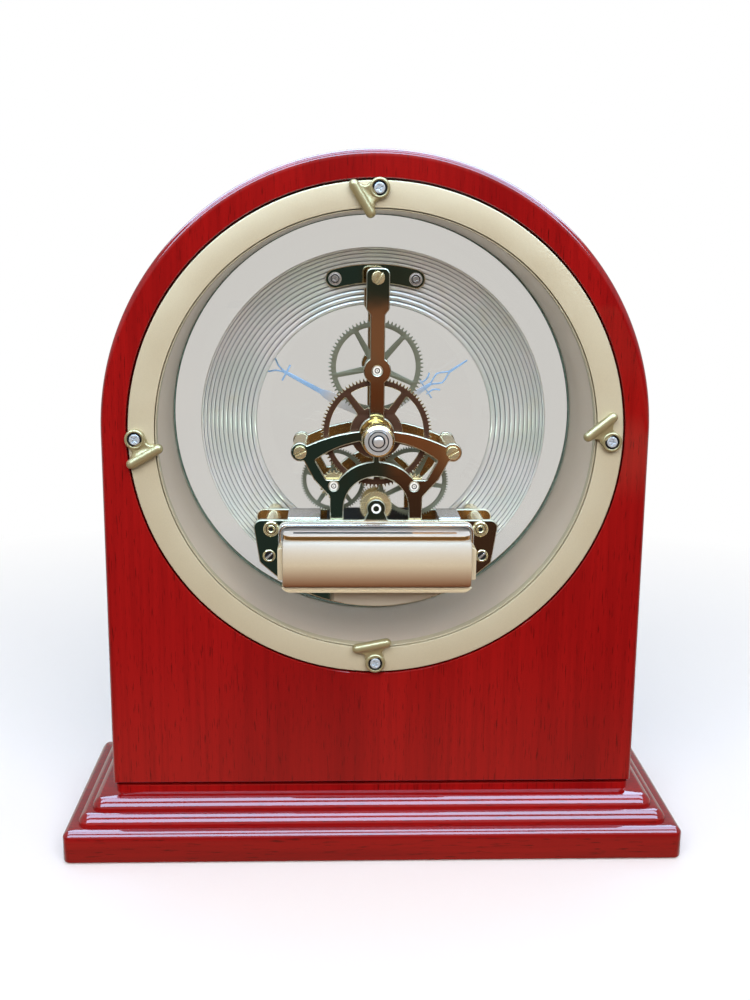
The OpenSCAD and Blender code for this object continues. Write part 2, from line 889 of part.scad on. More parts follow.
module hour_hand() {
    tip_x = 0.78 * hour_l;
    color("lightsteelblue") slab(hour_hand_y, 0.5) rotate(hour_a) difference() {
        union() {
            circle(r = 3.2);
            polygon([[0, -1.3], [0.5 * hour_l, -0.7], [0.6 * hour_l, -0.3],
                [0.6 * hour_l, 0.3], [0.5 * hour_l, 0.7], [0, 1.3]]);
            branches_2d(0.47 * hour_l, 2.9, hand_line);
            diamond_2d(0.56 * hour_l, 0.69 * hour_l, 0.82 * hour_l, 2.4, hand_line);
            polygon([[tip_x, -0.4], [hour_l, -0.1], [hour_l, 0.1], [tip_x, 0.4]]);
        }
        circle(r = hour_pipe_r);
    }
}

module minute_hand() {
    cross_x = 0.67 * minute_l;
    color("lightsteelblue") slab(minute_hand_y, 0.5) rotate(minute_a) difference() {
        union() {
            circle(r = 2.8);
            polygon([[0, -1.1], [0.3 * minute_l, -1.9], [0.42 * minute_l, -0.6],
                [0.74 * minute_l, -0.35], [0.74 * minute_l, 0.35], [0.42 * minute_l, 0.6],
                [0.3 * minute_l, 1.9], [0, 1.1]]);
            translate([cross_x, 0]) square([hand_line, 6], center = true);
            diamond_2d(0.7 * minute_l, 0.84 * minute_l, minute_l, 3.2, hand_line);
        }
        circle(r = centre_shaft_r);
    }
}

module hand_nut() {
    color("gold") difference() {
        rod([0, 0], minute_hand_y + 0.5, minute_hand_y + 2.4, 1.9);
        rod([0, 0], minute_hand_y, minute_hand_y + 1.4, centre_shaft_r);
    }
}

// ---------- battery ----------

// Rectangle with chamfered corners about the cell's centre, drawn as seen from the back
module tray_2d(hw, hh, c) {
    translate([0, cell_h]) polygon([
        [-hw + c, -hh], [hw - c, -hh], [hw, -hh + c], [hw, hh - c],
        [hw - c, hh], [-hw + c, hh], [-hw, hh - c], [-hw, -hh + c]
    ]);
}

module cell_slot_2d() {
    translate([0, cell_h]) square([2 * cell_slot_hw, 2 * cell_slot_hh], center = true);
}

module battery_housing() {
    floor_t = 0.5;
    color("tan") difference() {
        slab(tray_y, near_y - tray_y) tray_2d(tray_hw, tray_hh, tray_chamfer);
        slab(tray_y - 1, near_y - floor_t - tray_y + 1)
            tray_2d(tray_hw - tray_wall, tray_hh - tray_wall_v, tray_chamfer - 1.2);
        slab(tray_y - 1, near_y - tray_y + 2) cell_slot_2d();
    }
}

// Section of the cover: straight sides and a bowed back, drawn as [y, height]
function cover_points(hh, r) = let (
    half = asin((hh - 0.5) / r),
    cy = cell_y - cell_r - 0.9 + cover_arc_r
) concat(
    [[cover_y, -hh], [cy - r * cos(half) + 1, -hh]],
    [for (i = [-6 : 6]) [cy, 0] + polar(r, 180 - half * i / 6)],
    [[cy - r * cos(half) + 1, hh], [cover_y, hh]]
);

module cover_block(hw, hh, r) {
    intersection() {
        translate([-hw, 0, axis_z + cell_h]) rotate([90, 0, 90])
            linear_extrude(2 * hw) polygon(cover_points(hh, r));
        slab(base_d / -2 - 5, 20) tray_2d(hw, hh, tray_chamfer - 1);
    }
}

module battery_cover() {
    color("burlywood") difference() {
        cover_block(cover_hw, cover_hh, cover_arc_r);
        translate([0, eps, 0])
            cover_block(cover_hw - cover_t, cover_hh - cover_t, cover_arc_r - cover_t);
    }
}

module battery() {
    color("silver") translate([-cell_l / 2, cell_y, axis_z + cell_h]) rotate([0, 90, 0]) {
        cylinder(h = cell_l - 1, r = cell_r);
        translate([0, 0, cell_l - 1]) cylinder(h = 1, r = 2.7);
    }
}

module battery_contacts() {
    plate_x = tray_hw - tray_wall;
    color("silver") for (s = [0, 1]) mirror([s, 0, 0])
        translate([0, cell_y, axis_z + cell_h]) {
            translate([plate_x - 0.4, -1.6, -4]) cube([0.4, 5.6, 8]);
            translate([cell_l / 2, 0, 0]) rotate([0, 90, 0])
                cylinder(h = plate_x - 0.4 - cell_l / 2, r = 1.6);
        }
}

base_plinth();
case_body();
base_screws();
felt_feet();
tube_sleeve();
rear_ring();
clip_top();
clip_left();
clip_right();
clip_bottom();
clip_screws();
front_bezel();
dial_glass();
chapter_ring();
hour_markers();
dial_posts();
dial_screws();
top_bracket();
bracket_screws();
top_post();
plate_screws();
rear_plate();
front_plate();
arm_pillars();
pivot_bushings();
bottom_plate_rear();
bottom_plate_front();
bottom_posts();
post_nuts();
spacer_blocks();
centre_arbor();
centre_wheel();
set_knob();
top_arbor();
top_wheel();
left_arbor();
left_wheel();
right_arbor();
right_wheel();
lower_arbor();
lower_wheel();
drive_wheel();
rotor();
stator();
coil();
circuit_board();
cannon_pinion();
minute_wheel();
hour_wheel();
hour_hand();
minute_hand();
hand_nut();
battery_housing();
battery_cover();
battery();
battery_contacts();
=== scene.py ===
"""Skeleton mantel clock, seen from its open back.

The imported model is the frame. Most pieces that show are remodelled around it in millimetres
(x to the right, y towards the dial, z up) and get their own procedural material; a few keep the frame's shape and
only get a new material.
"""

import math

import bmesh
import bpy
from mathutils import Matrix, Vector

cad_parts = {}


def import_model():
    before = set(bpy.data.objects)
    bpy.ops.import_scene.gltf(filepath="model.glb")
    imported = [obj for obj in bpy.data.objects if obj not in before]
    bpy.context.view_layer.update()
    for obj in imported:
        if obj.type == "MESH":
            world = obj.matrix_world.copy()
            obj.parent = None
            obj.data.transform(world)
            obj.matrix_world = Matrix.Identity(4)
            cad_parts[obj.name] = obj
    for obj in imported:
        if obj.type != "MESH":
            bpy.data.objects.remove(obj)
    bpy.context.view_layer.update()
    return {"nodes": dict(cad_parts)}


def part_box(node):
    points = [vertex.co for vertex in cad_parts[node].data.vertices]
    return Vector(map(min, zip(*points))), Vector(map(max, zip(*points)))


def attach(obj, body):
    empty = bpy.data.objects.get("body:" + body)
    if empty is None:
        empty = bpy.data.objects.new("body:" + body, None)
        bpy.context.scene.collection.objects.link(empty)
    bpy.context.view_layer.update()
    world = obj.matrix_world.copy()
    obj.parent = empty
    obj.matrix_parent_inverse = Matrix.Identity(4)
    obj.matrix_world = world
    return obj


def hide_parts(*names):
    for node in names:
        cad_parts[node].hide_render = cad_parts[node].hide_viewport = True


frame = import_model()

MM = 0.001
ROOT = "clock_case"


def box(node):
    """Lowest and highest corner of a CAD node, in millimetres."""
    low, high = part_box(node)
    return Vector(low) / MM, Vector(high) / MM


def span(node, axis):
    """Lowest and highest coordinate of a CAD node along one axis."""
    low, high = box(node)
    return low[axis], high[axis]


# ---------------------------------------------------------------- sizes taken from the frame

BASE_LOW, BASE_HIGH = box("base_plinth")
CASE_LOW, CASE_HIGH = box("case_body")
AXIS_Z = sum(span("centre_arbor", 2)) / 2
CASE_HW = CASE_HIGH.x
ARCH_Z = CASE_HIGH.z - CASE_HW
RING_Y = span("rear_ring", 1)[0]
RING_R = span("rear_ring", 0)[1]
PLATE_Y, PLATE_Y1 = span("rear_plate", 1)
FRONT_PLATE_Y, CHAPTER_Y = span("front_plate", 1)
NEAR_Y = span("bottom_plate_rear", 1)[0]
FAR_Y = span("bottom_plate_front", 1)[0]
PLATE_T = PLATE_Y1 - PLATE_Y
BORE_R = span("dial_glass", 0)[1] + 0.1
CHAPTER_R = span("chapter_ring", 0)[1]

# ---------------------------------------------------------------- camera

CAMERA_PLACE = (-13.45, -376.43, 185.86)
CAMERA_PITCH = 11.80
CAMERA_YAW = 2.10
CAMERA_ROLL = 0.532
CAMERA_LENS = 43.15


def make_camera():
    pitch, yaw, roll = (math.radians(a) for a in (CAMERA_PITCH, CAMERA_YAW, CAMERA_ROLL))
    forward = Vector((math.sin(yaw) * math.cos(pitch), math.cos(yaw) * math.cos(pitch), -math.sin(pitch)))
    right = Vector((math.cos(yaw), -math.sin(yaw), 0))
    up = right.cross(forward)
    right, up = (
        math.cos(roll) * right + math.sin(roll) * up,
        -math.sin(roll) * right + math.cos(roll) * up,
    )
    data = bpy.data.cameras.new("camera")
    data.lens = CAMERA_LENS
    data.sensor_width = 36
    data.clip_start = 0.01
    camera = bpy.data.objects.new("camera", data)
    turn = Matrix((right, up, -forward)).transposed().to_4x4()
    camera.matrix_world = Matrix.Translation(Vector(CAMERA_PLACE) * MM) @ turn
    bpy.context.collection.objects.link(camera)
    bpy.context.scene.camera = camera


# ---------------------------------------------------------------- materials


class Graph:
    """Short ways to add nodes to a node tree."""

    def __init__(self, tree):
        self.tree = tree

    def feed(self, socket, value):
        """Gives a socket a number, a vector, a colour or another node's output."""
        if isinstance(value, bpy.types.NodeSocket):
            self.tree.links.new(value, socket)
        elif isinstance(value, tuple) and socket.type == "RGBA":
            socket.default_value = (*value, 1.0)
        else:
            socket.default_value = value

    def node(self, kind, feeds=None, **settings):
        made = self.tree.nodes.new("ShaderNode" + kind)
        for key, value in settings.items():
            setattr(made, key, value)
        for key, value in (feeds or {}).items():
            self.feed(made.inputs[key], value)
        return made

    def remap(self, value, low, high, to_low=0.0, to_high=1.0, **settings):
        return self.node("MapRange", {0: value, 1: low, 2: high, 3: to_low, 4: to_high}, **settings).outputs[0]

    def maths(self, operation, first, second):
        return self.node("Math", {0: first, 1: second}, operation=operation).outputs[0]

    def mix(self, factor, first, second):
        """Mixes two colours."""
        return self.node("Mix", {0: factor, 6: first, 7: second}, data_type="RGBA").outputs[2]

    def shaders(self, factor, first, second):
        """Ends the material in a mix of two shaders."""
        mixed = self.node("MixShader", {0: factor, 1: first.outputs[0], 2: second.outputs[0]})
        self.surface(mixed)

    def surface(self, shader):
        self.feed(self.tree.nodes["Material Output"].inputs["Surface"], shader.outputs[0])


SOCKET = {
    "colour": "Base Color",
    "metal": "Metallic",
    "rough": "Roughness",
    "specular": "Specular IOR Level",
    "coat": "Coat Weight",
    "coat_rough": "Coat Roughness",
    "coat_ior": "Coat IOR",
    "sheen": "Sheen Weight",
}


class Material(Graph):
    """A Principled material whose details are built from noise in object coordinates."""

    def __init__(self, name, **settings):
        self.made = bpy.data.materials.new(name)
        self.made.use_nodes = True
        super().__init__(self.made.node_tree)
        self.shader = self.tree.nodes["Principled BSDF"]
        self.coords = self.node("TexCoord").outputs["Object"]
        self.set(**settings)

    def set(self, **settings):
        for key, value in settings.items():
            self.feed(self.shader.inputs[SOCKET[key]], value)

    def noise(self, size, stretch=(1, 1, 1), detail=3.0, rough=0.55, seed=0.0):
        """Noise with features about size millimetres across, longer along stretched axes."""
        scale = [1 / (MM * size * s) for s in stretch]
        place = {"Vector": self.coords, "Scale": scale, "Location": (seed, seed * 1.7, seed * 0.6)}
        vector = self.node("Mapping", place).outputs[0]
        feeds = {"Vector": vector, "Scale": 1.0, "Detail": detail, "Roughness": rough}
        return self.node("TexNoise", feeds).outputs["Fac"]

    def axis(self, index):
        """One object coordinate in metres."""
        return self.node("SeparateXYZ", {0: self.coords}).outputs[index]

    def bump(self, height, depth, coat=False):
        """Raises the surface by depth millimetres where height is 1, and returns the finished material."""
        feeds = {"Strength": 1.0, "Distance": depth * MM, "Height": height}
        normal = self.node("Bump", feeds).outputs["Normal"]
        for key in ("Normal", "Coat Normal") if coat else ("Normal",):
            self.feed(self.shader.inputs[key], normal)
        return self.made


def mahogany(name, along):
    """High-gloss red mahogany lacquer with the grain running along one axis (0 x, 2 z)."""
    made = Material(name, rough=0.5, specular=0.0, coat=1.0, coat_rough=0.015, coat_ior=1.6)

    def grain(length, width, **more):
        stretch = [1.0, 1.0, 1.0]
        stretch[along] = length / width
        return made.noise(width, stretch, **more)

    broad = made.remap(grain(160, 26, detail=2, seed=3.1), 0.35, 0.65)
    streaks = made.remap(grain(70, 1.5, detail=4, rough=0.6, seed=7.7), 0.42, 0.72)
    pores = made.remap(grain(6, 0.42, detail=2, seed=1.3), 0.60, 0.72)
    body = made.mix(broad, (0.225, 0.0032, 0.0036), (0.300, 0.0055, 0.0052))
    body = made.mix(made.remap(streaks, 0, 1, 0, 0.45), body, (0.150, 0.0022, 0.0028))
    body = made.mix(made.remap(pores, 0, 1, 0, 0.7), body, (0.045, 0.0015, 0.0015))
    made.set(colour=body, rough=made.remap(grain(30, 4, seed=5.0), 0.3, 0.7, 0.27, 0.38))
    return made.bump(made.noise(9, (1, 1, 1.6), detail=1, seed=2.2), 0.012, coat=True)


def satin_metal(name, colour, rough, grit=0.22, depth=0.010, shade=0.9, metal=1.0, specular=0.5):
    """Blasted or lacquered metal with a fine even speckle."""
    made = Material(name, metal=metal, rough=rough, specular=specular)
    speck = made.noise(grit, detail=3, rough=0.7)
    cloud = made.noise(14, detail=2, seed=4.0)
    tone = made.mix(made.remap(speck, 0.3, 0.7), tuple(c * shade for c in colour), colour)
    tone = made.mix(made.remap(cloud, 0.3, 0.7, 0, 0.35), tone, tuple(c * 0.94 for c in colour))
    made.set(colour=tone, rough=made.remap(cloud, 0.3, 0.7, rough * 0.9, rough * 1.12))
    return made.bump(speck, depth)


def polished_metal(name, colour, rough):
    """Mirror-polished metal with faint handling marks and hairline scratches."""
    made = Material(name, metal=1.0)
    cloud = made.remap(made.noise(5, detail=3, seed=9.0), 0.35, 0.7)
    hairs = made.remap(made.noise(0.12, (1, 1, 40), detail=2, seed=1.0), 0.6, 0.8, 0, 0.05)
    marks = made.remap(cloud, 0, 1, rough, rough * 1.5)
    tone = made.mix(made.remap(cloud, 0, 1, 0, 0.35), colour, tuple(c * 0.9 for c in colour))
    made.set(colour=tone, rough=made.maths("ADD", marks, hairs))
    return made.bump(made.noise(2.5, detail=2, seed=6.0), 0.004)


def mirror_plate(name):
    """Polished gold plate, greenish black towards the left and warm brown towards the right; this side-to-side tint
    is a painted reflection of the room.
    """
    made = Material(name)
    cloud = made.remap(made.noise(12, (1, 1, 2.5), detail=2, seed=8.0), 0.3, 0.7, -0.22, 0.22)
    # Painted reflection: the colour runs from greenish on the left to warm brown on the right, as the room it
    # mirrors.
    side = made.maths("ADD", made.remap(made.axis(0), -0.030, 0.034), cloud)
    tone = made.mix(made.remap(side, 0.30, 0.46), (0.62, 0.62, 0.46), (0.74, 0.56, 0.36))
    tone = made.mix(made.remap(side, 0.62, 0.95), tone, (0.86, 0.68, 0.44))
    # The foot of the near plate is painted pale, less metallic and rougher, except at its left end: a painted
    # reflection of bright light on the foot
    low, right = made.remap(made.axis(2), 0.0866, 0.0862), made.remap(made.axis(0), -0.0145, -0.0125)
    foot = made.maths("MULTIPLY", low, right)
    made.set(colour=made.mix(foot, tone, (0.74, 0.68, 0.55)),
             metal=made.remap(foot, 0, 1, 1.0, 0.2), rough=made.remap(foot, 0, 1, 0.05, 0.3))
    return made.bump(made.noise(6, detail=1, seed=6.0), 0.006)


def cover_metal(name):
    """Satin gold with painted light and shade: cream at its top, where the light falls, deepening to brown painted
    shade at its bottom.
    """
    made = Material(name, metal=0.05, rough=0.45, specular=0.25)
    speck = made.noise(0.2, detail=3, rough=0.7)
    height, top, bottom = made.axis(2), (AXIS_Z - 29.5) * MM, (AXIS_Z - 44.0) * MM
    middle = (top + bottom) / 2
    # Painted light and shade: lighter towards the top, darker brown towards the bottom.
    tone = made.mix(made.remap(height, top, middle), (0.47, 0.47, 0.425), (0.57, 0.49, 0.335))
    tone = made.mix(made.remap(height, middle, bottom), tone, (0.25, 0.090, 0.024))
    made.set(colour=made.mix(made.remap(speck, 0.3, 0.7, 0, 0.25), tone, (0.30, 0.20, 0.12)))
    return made.bump(speck, 0.006)


def blued(name):
    """Sky-blue finish that fades to silver near the hub."""
    made = Material(name, metal=0.2, rough=0.35)
    flat = made.node("VectorMath", {0: made.coords, 1: (1, 0, 1)}, operation="MULTIPLY").outputs[0]
    length = made.node("VectorMath", {0: flat, 1: (0, 0, AXIS_Z * MM)}, operation="DISTANCE")
    fine = made.remap(made.noise(0.3, detail=3), 0.3, 0.7)
    blue = made.mix(fine, (0.27, 0.47, 0.76), (0.36, 0.58, 0.86))
    made.set(colour=made.mix(made.remap(length.outputs["Value"], 0.016, 0.021), (0.62, 0.63, 0.64), blue))
    return made.bump(fine, 0.004)


def chapter_metal(name):
    """Turned silver with a faint green tint and painted warm glints, warm patches of painted reflection in its
    colour.
    """
    made = Material(name, metal=0.58)
    cloud = made.remap(made.noise(16, detail=2, seed=2.0), 0.35, 0.65)
    # Painted glints: warm noise patches mixed into the colour as painted reflection.
    painted_warm_glint = made.remap(made.noise(9, detail=3, seed=12.0), 0.56, 0.72)
    tone = made.mix(cloud, (0.86, 0.96, 0.92), (0.98, 1.0, 1.0))
    tone = made.mix(made.remap(painted_warm_glint, 0, 1, 0, 0.3), tone, (0.95, 0.88, 0.62))
    made.set(colour=tone, rough=made.remap(cloud, 0, 1, 0.10, 0.2))
    return made.bump(made.noise(0.4, detail=2, seed=3.0), 0.003)


def clear_glass(name):
    """Thin-walled clear glass, slightly smoked, with Fresnel reflections."""
    made = Material(name)
    made.tree.nodes.remove(made.shader)
    clear = made.node("BsdfTransparent", {"Color": (0.795, 0.785, 0.765)})
    gloss = made.node("BsdfGlossy", {"Roughness": 0.02, "Color": (0.9, 0.95, 0.93)})
    made.shaders(made.node("Fresnel", {"IOR": 1.45}).outputs["Fac"], clear, gloss)
    return made.made


def fine_mix(name, noise, low, high, depth, **settings):
    """Two colours mixed by one noise (size, stretch, detail, roughness), which also raises the surface."""
    made = Material(name, **settings)
    fine = made.noise(*noise)
    made.set(colour=made.mix(made.remap(fine, 0.3, 0.7), low, high))
    return made.bump(fine, depth)


def glass_edge(name):
    """Green cut edge of the glass disc."""
    return fine_mix(name, (1.2, (1, 6, 1)), (0.16, 0.30, 0.23), (0.34, 0.50, 0.42), 0.01,
                    rough=0.25, specular=0.6, coat=0.5, coat_rough=0.1)


def plastic(name, colour, rough):
    return fine_mix(name, (0.5,), tuple(c * 0.9 for c in colour), colour, 0.006, rough=rough, specular=0.5)


def felt(name):
    return fine_mix(name, (0.35, (1, 1, 0.5), 5, 0.8), (0.035, 0.030, 0.028), (0.10, 0.09, 0.085), 0.12,
                    rough=0.95, sheen=0.5)


def cell_jacket(name):
    """Plain dark jacket of the cell with a copper-coloured band at the positive end."""
    made = Material(name, metal=0.6, rough=0.3)
    tone = made.mix(made.remap(made.axis(0), 0.0105, 0.0108), (0.035, 0.037, 0.04), (0.55, 0.27, 0.10))
    scuff = made.remap(made.noise(3, detail=4), 0.45, 0.7, 0, 0.3)
    made.set(colour=made.mix(scuff, tone, (0.2, 0.2, 0.2)))
    return made.bump(made.noise(1.5, detail=2), 0.01)


def circuit_green(name):
    made = Material(name, rough=0.4)
    lanes = made.remap(made.noise(2.2, (3, 1, 1), detail=0, seed=4), 0.49, 0.52)
    made.set(colour=made.mix(lanes, (0.012, 0.07, 0.03), (0.02, 0.13, 0.05)))
    return made.bump(lanes, 0.03)


SATIN = {
    "champagne": dict(colour=(0.625, 0.56, 0.385), rough=0.42, grit=0.28, depth=0.014, metal=0.3),
    "cast_gold": dict(colour=(0.44, 0.38, 0.20), rough=0.30, grit=0.5, depth=0.02, shade=0.85, metal=0.5),
    "sleeve": dict(colour=(0.90, 0.78, 0.65), rough=0.32, grit=0.25, depth=0.008, metal=0.55),
    "front_gold": dict(colour=(0.46, 0.23, 0.07), rough=0.14, grit=0.5, depth=0.004, metal=0.8),
    "brass": dict(colour=(0.86, 0.72, 0.42), rough=0.18, grit=0.5, depth=0.003, metal=0.75),
    "bronze": dict(colour=(0.135, 0.070, 0.045), rough=0.22, grit=0.4, depth=0.003, metal=0.6),
    "steel_wheel": dict(colour=(0.25, 0.27, 0.20), rough=0.30, grit=0.3, depth=0.006, metal=0.5),
    "nickel": dict(colour=(0.78, 0.78, 0.77), rough=0.20, grit=0.3, depth=0.004, metal=0.75),
    "chrome": dict(colour=(0.82, 0.82, 0.80), rough=0.12, grit=0.3, depth=0.002, metal=0.6),
    "zinc": dict(colour=(0.66, 0.74, 0.80), rough=0.22, grit=0.35, depth=0.03, metal=0.45),
    "shelf": dict(colour=(0.72, 0.71, 0.68), rough=0.6, grit=0.25, depth=0.004, metal=0.0, specular=0.15),
    "front_lip": dict(colour=(0.80, 0.70, 0.48), rough=0.35, grit=0.2, depth=0.004, metal=0.3),
    "iron": dict(colour=(0.20, 0.20, 0.21), rough=0.4),
    "copper": dict(colour=(0.62, 0.25, 0.10), rough=0.3, grit=0.3, depth=0.02),
}
MATERIALS = {
    "wood_upright": mahogany("wood_upright", along=2),
    "wood_level": mahogany("wood_level", along=0),
    "bezel_gold": polished_metal("bezel_gold", (0.86, 0.63, 0.30), 0.12),
    "plate": mirror_plate("plate"),
    "plate_edge": polished_metal("plate_edge", (0.72, 0.65, 0.47), 0.25),
    "chapter": chapter_metal("chapter"),
    "cover": cover_metal("cover"),
    "glass": clear_glass("glass"),
    "glass_edge": glass_edge("glass_edge"),
    "white": plastic("white", (0.86, 0.86, 0.80), 0.22),
    "black": plastic("black", (0.012, 0.012, 0.014), 0.3),
    "blue": blued("blue"),
    "felt": felt("felt"),
    "board": circuit_green("board"),
    "cell": cell_jacket("cell"),
    **{name: satin_metal(name, **settings) for name, settings in SATIN.items()},
}

# ---------------------------------------------------------------- outlines, drawn as (x, z)


def polar(r, angle, centre=(0.0, 0.0)):
    a = math.radians(angle)
    return (centre[0] + r * math.cos(a), centre[1] + r * math.sin(a))


def arc(centre, r, start, end, steps=12, corners=(0.0, 0.0)):
    """Points of an arc; corners are the fillets at its two ends."""
    points = [(*polar(r, start + (end - start) * i / steps, centre), 0.0) for i in range(steps + 1)]
    points[0] = (*points[0][:2], corners[0])
    points[-1] = (*points[-1][:2], corners[1])
    return points


def circle(r, centre=(0.0, 0.0), steps=48):
    return [polar(r, 360 * i / steps, centre) for i in range(steps)]


def fillet(points, steps=5):
    """Rounds the corners of a closed outline of (x, y) or (x, y, radius) points."""
    done = []
    for i, point in enumerate(points):
        radius = point[2] if len(point) > 2 else 0.0
        here = Vector(point[:2])
        if radius <= 0:
            done.append(tuple(here))
            continue
        back = Vector(points[i - 1][:2]) - here
        ahead = Vector(points[(i + 1) % len(points)][:2]) - here
        half = back.angle(ahead) / 2
        if back.length < 1e-6 or ahead.length < 1e-6 or half > math.radians(88):
            done.append(tuple(here))
            continue
        reach = min(radius / math.tan(half), 0.48 * back.length, 0.48 * ahead.length)
        start, end = here + back.normalized() * reach, here + ahead.normalized() * reach
        radius = reach * math.tan(half)
        middle = here + (back.normalized() + ahead.normalized()).normalized() * (radius / math.sin(half))
        first = math.atan2(*(start - middle).yx)
        turn = math.atan2(*(end - middle).yx) - first
        turn = (turn + math.pi) % (2 * math.pi) - math.pi
        for k in range(steps + 1):
            a = first + turn * k / steps
            done.append((middle.x + radius * math.cos(a), middle.y + radius * math.sin(a)))
    return done


def rectangle(x0, z0, x1, z1, r=0.0):
    return fillet([(x0, z0, r), (x1, z0, r), (x1, z1, r), (x0, z1, r)])


def mirror(points):
    """The same half outline on the other side, in reverse order."""
    return [(-p[0], *p[1:]) for p in reversed(points)]


def moved(points, centre):
    return [(p[0] + centre[0], p[1] + centre[1], *p[2:]) for p in points]


def turned(points, angle):
    c, s = math.cos(math.radians(angle)), math.sin(math.radians(angle))
    return [(c * p[0] - s * p[1], s * p[0] + c * p[1], *p[2:]) for p in points]


def area(points):
    return sum(a[0] * b[1] - b[0] * a[1] for a, b in zip(points, [*points[1:], points[0]])) / 2


# ---------------------------------------------------------------- meshes


class Shape:
    """Collects faces in millimetres, each with a material name, and makes one object."""

    def __init__(self, default):
        self.names = [default]
        self.verts, self.faces, self.kinds = [], [], []

    def add(self, verts, faces, material=None):
        material = material or self.names[0]
        if material not in self.names:
            self.names.append(material)
        start = len(self.verts)
        self.verts += verts
        self.faces += [[start + i for i in f] for f in faces]
        self.kinds += [self.names.index(material)] * len(faces)
        return self

    def loft(self, loops, material=None, caps=(False, False), closed=False):
        """Skins a list of loops that have the same number of points."""
        n = len(loops[0])
        verts = [v for loop in loops for v in loop]
        last = len(loops) if closed else len(loops) - 1
        faces = []
        for i in range(last):
            j = (i + 1) % len(loops)
            faces += [[i * n + k, i * n + (k + 1) % n, j * n + (k + 1) % n, j * n + k] for k in range(n)]
        if caps[0]:
            faces.append(list(range(n)))
        if caps[1]:
            faces.append([(len(loops) - 1) * n + k for k in range(n)])
        return self.add(verts, faces, material)

    def turned(self, profile, centre=(0.0, 0.0), steps=96, closed=False, material=None):
        """Revolves a profile of (radius, y) points about a line along y."""
        loops = [[(x, y, AXIS_Z + z) for x, z in circle(r, centre, steps)] for r, y in profile]
        return self.loft(loops, material, closed=closed)

    def rod(self, y0, y1, r, chamfer, centre, steps):
        """Solid rod along y with chamfered ends."""
        profile = [(0, y0), (r - chamfer, y0), (r, y0 + chamfer), (r, y1 - chamfer), (r - chamfer, y1), (0, y1)]
        return self.turned(profile, centre, steps)

    def plate(self, outlines, y0, y1, bevel=0.0, material=None, edge=None, steps=2):
        """Extrudes flat outlines with holes from y0 to y1 and bevels every edge."""
        curve = bpy.data.curves.new("outline", "CURVE")
        curve.dimensions = "2D"
        curve.fill_mode = "BOTH"
        curve.extrude = (y1 - y0) / 2 - bevel
        curve.bevel_depth = bevel
        curve.bevel_resolution = steps
        curve.offset = -bevel
        for i, points in enumerate(outlines):
            if (area(points) > 0) != (i == 0):
                points = points[::-1]
            spline = curve.splines.new("POLY")
            spline.points.add(len(points) - 1)
            for target, p in zip(spline.points, points):
                target.co = (p[0], p[1], 0, 1)
            spline.use_cyclic_u = True
        holder = bpy.data.objects.new("outline", curve)
        bpy.context.collection.objects.link(holder)
        evaluated = holder.evaluated_get(bpy.context.evaluated_depsgraph_get())
        mesh = bpy.data.meshes.new_from_object(evaluated)
        middle = (y0 + y1) / 2
        verts = [(v.co.x, middle - v.co.z, AXIS_Z + v.co.y) for v in mesh.vertices]
        flat = [list(p.vertices) for p in mesh.polygons if abs(p.normal.z) > 0.98]
        side = [list(p.vertices) for p in mesh.polygons if abs(p.normal.z) <= 0.98]
        bpy.data.objects.remove(holder)
        bpy.data.curves.remove(curve)
        bpy.data.meshes.remove(mesh)
        self.add(verts, flat, material)
        self.add(verts, side, edge or material)
        return self

    def object(self, name, body, slot, node, smooth=32.0):
        mesh = bpy.data.meshes.new(name)
        mesh.from_pydata([tuple(c * MM for c in v) for v in self.verts], [], self.faces)
        for material in self.names:
            mesh.materials.append(MATERIALS[material])
        for polygon, kind in zip(mesh.polygons, self.kinds):
            polygon.material_index = kind
        work = bmesh.new()
        work.from_mesh(mesh)
        bmesh.ops.remove_doubles(work, verts=work.verts, dist=1e-6)
        loose = [v for v in work.verts if not v.link_faces]
        bmesh.ops.delete(work, geom=loose, context="VERTS")
        bmesh.ops.recalc_face_normals(work, faces=work.faces)
        work.to_mesh(mesh)
        work.free()
        mesh.shade_smooth()
        mesh.set_sharp_from_angle(angle=math.radians(smooth))
        made = bpy.data.objects.new(name, mesh)
        bpy.context.collection.objects.link(made)
        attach(made, body)
        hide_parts(node)
        return made


# ---------------------------------------------------------------- wooden case

SLAB_TOP = 10.2
STEP_H = (BASE_HIGH.z - SLAB_TOP) / 2
STEP_INSET = 3.8
PLINTH_H = 3.0
EDGE_R = 2.0


def rounded_rectangle(half_w, half_d, r, steps=6):
    points = []
    for turn, (sx, sy) in enumerate(((1, -1), (1, 1), (-1, 1), (-1, -1))):
        centre = (sx * (half_w - r), sy * (half_d - r))
        points += [polar(r, -90 + 90 * turn + 90 * i / steps, centre) for i in range(steps + 1)]
    return points


def nose_profile(inset, top, r):
    """Convex bevel of radius r, tilted from 30 to 60 degrees, run into the riser by a tighter arc."""
    small = 0.21 * r
    bend = [(small, 87), (small, 78), (small, 69)] + [(r, 60 - 30 * i / 12) for i in range(13)]
    points, y, z = [], inset, 0.0
    for (r0, a0), (_, a1) in zip(bend, bend[1:]):
        points.append((y, z))
        a0, a1 = math.radians(a0), math.radians(a1)
        y += r0 * (math.sin(a0) - math.sin(a1))
        z += r0 * (math.cos(a1) - math.cos(a0))
    points.append((y, z))
    return [(y, top - points[-1][1] + z) for y, z in points]


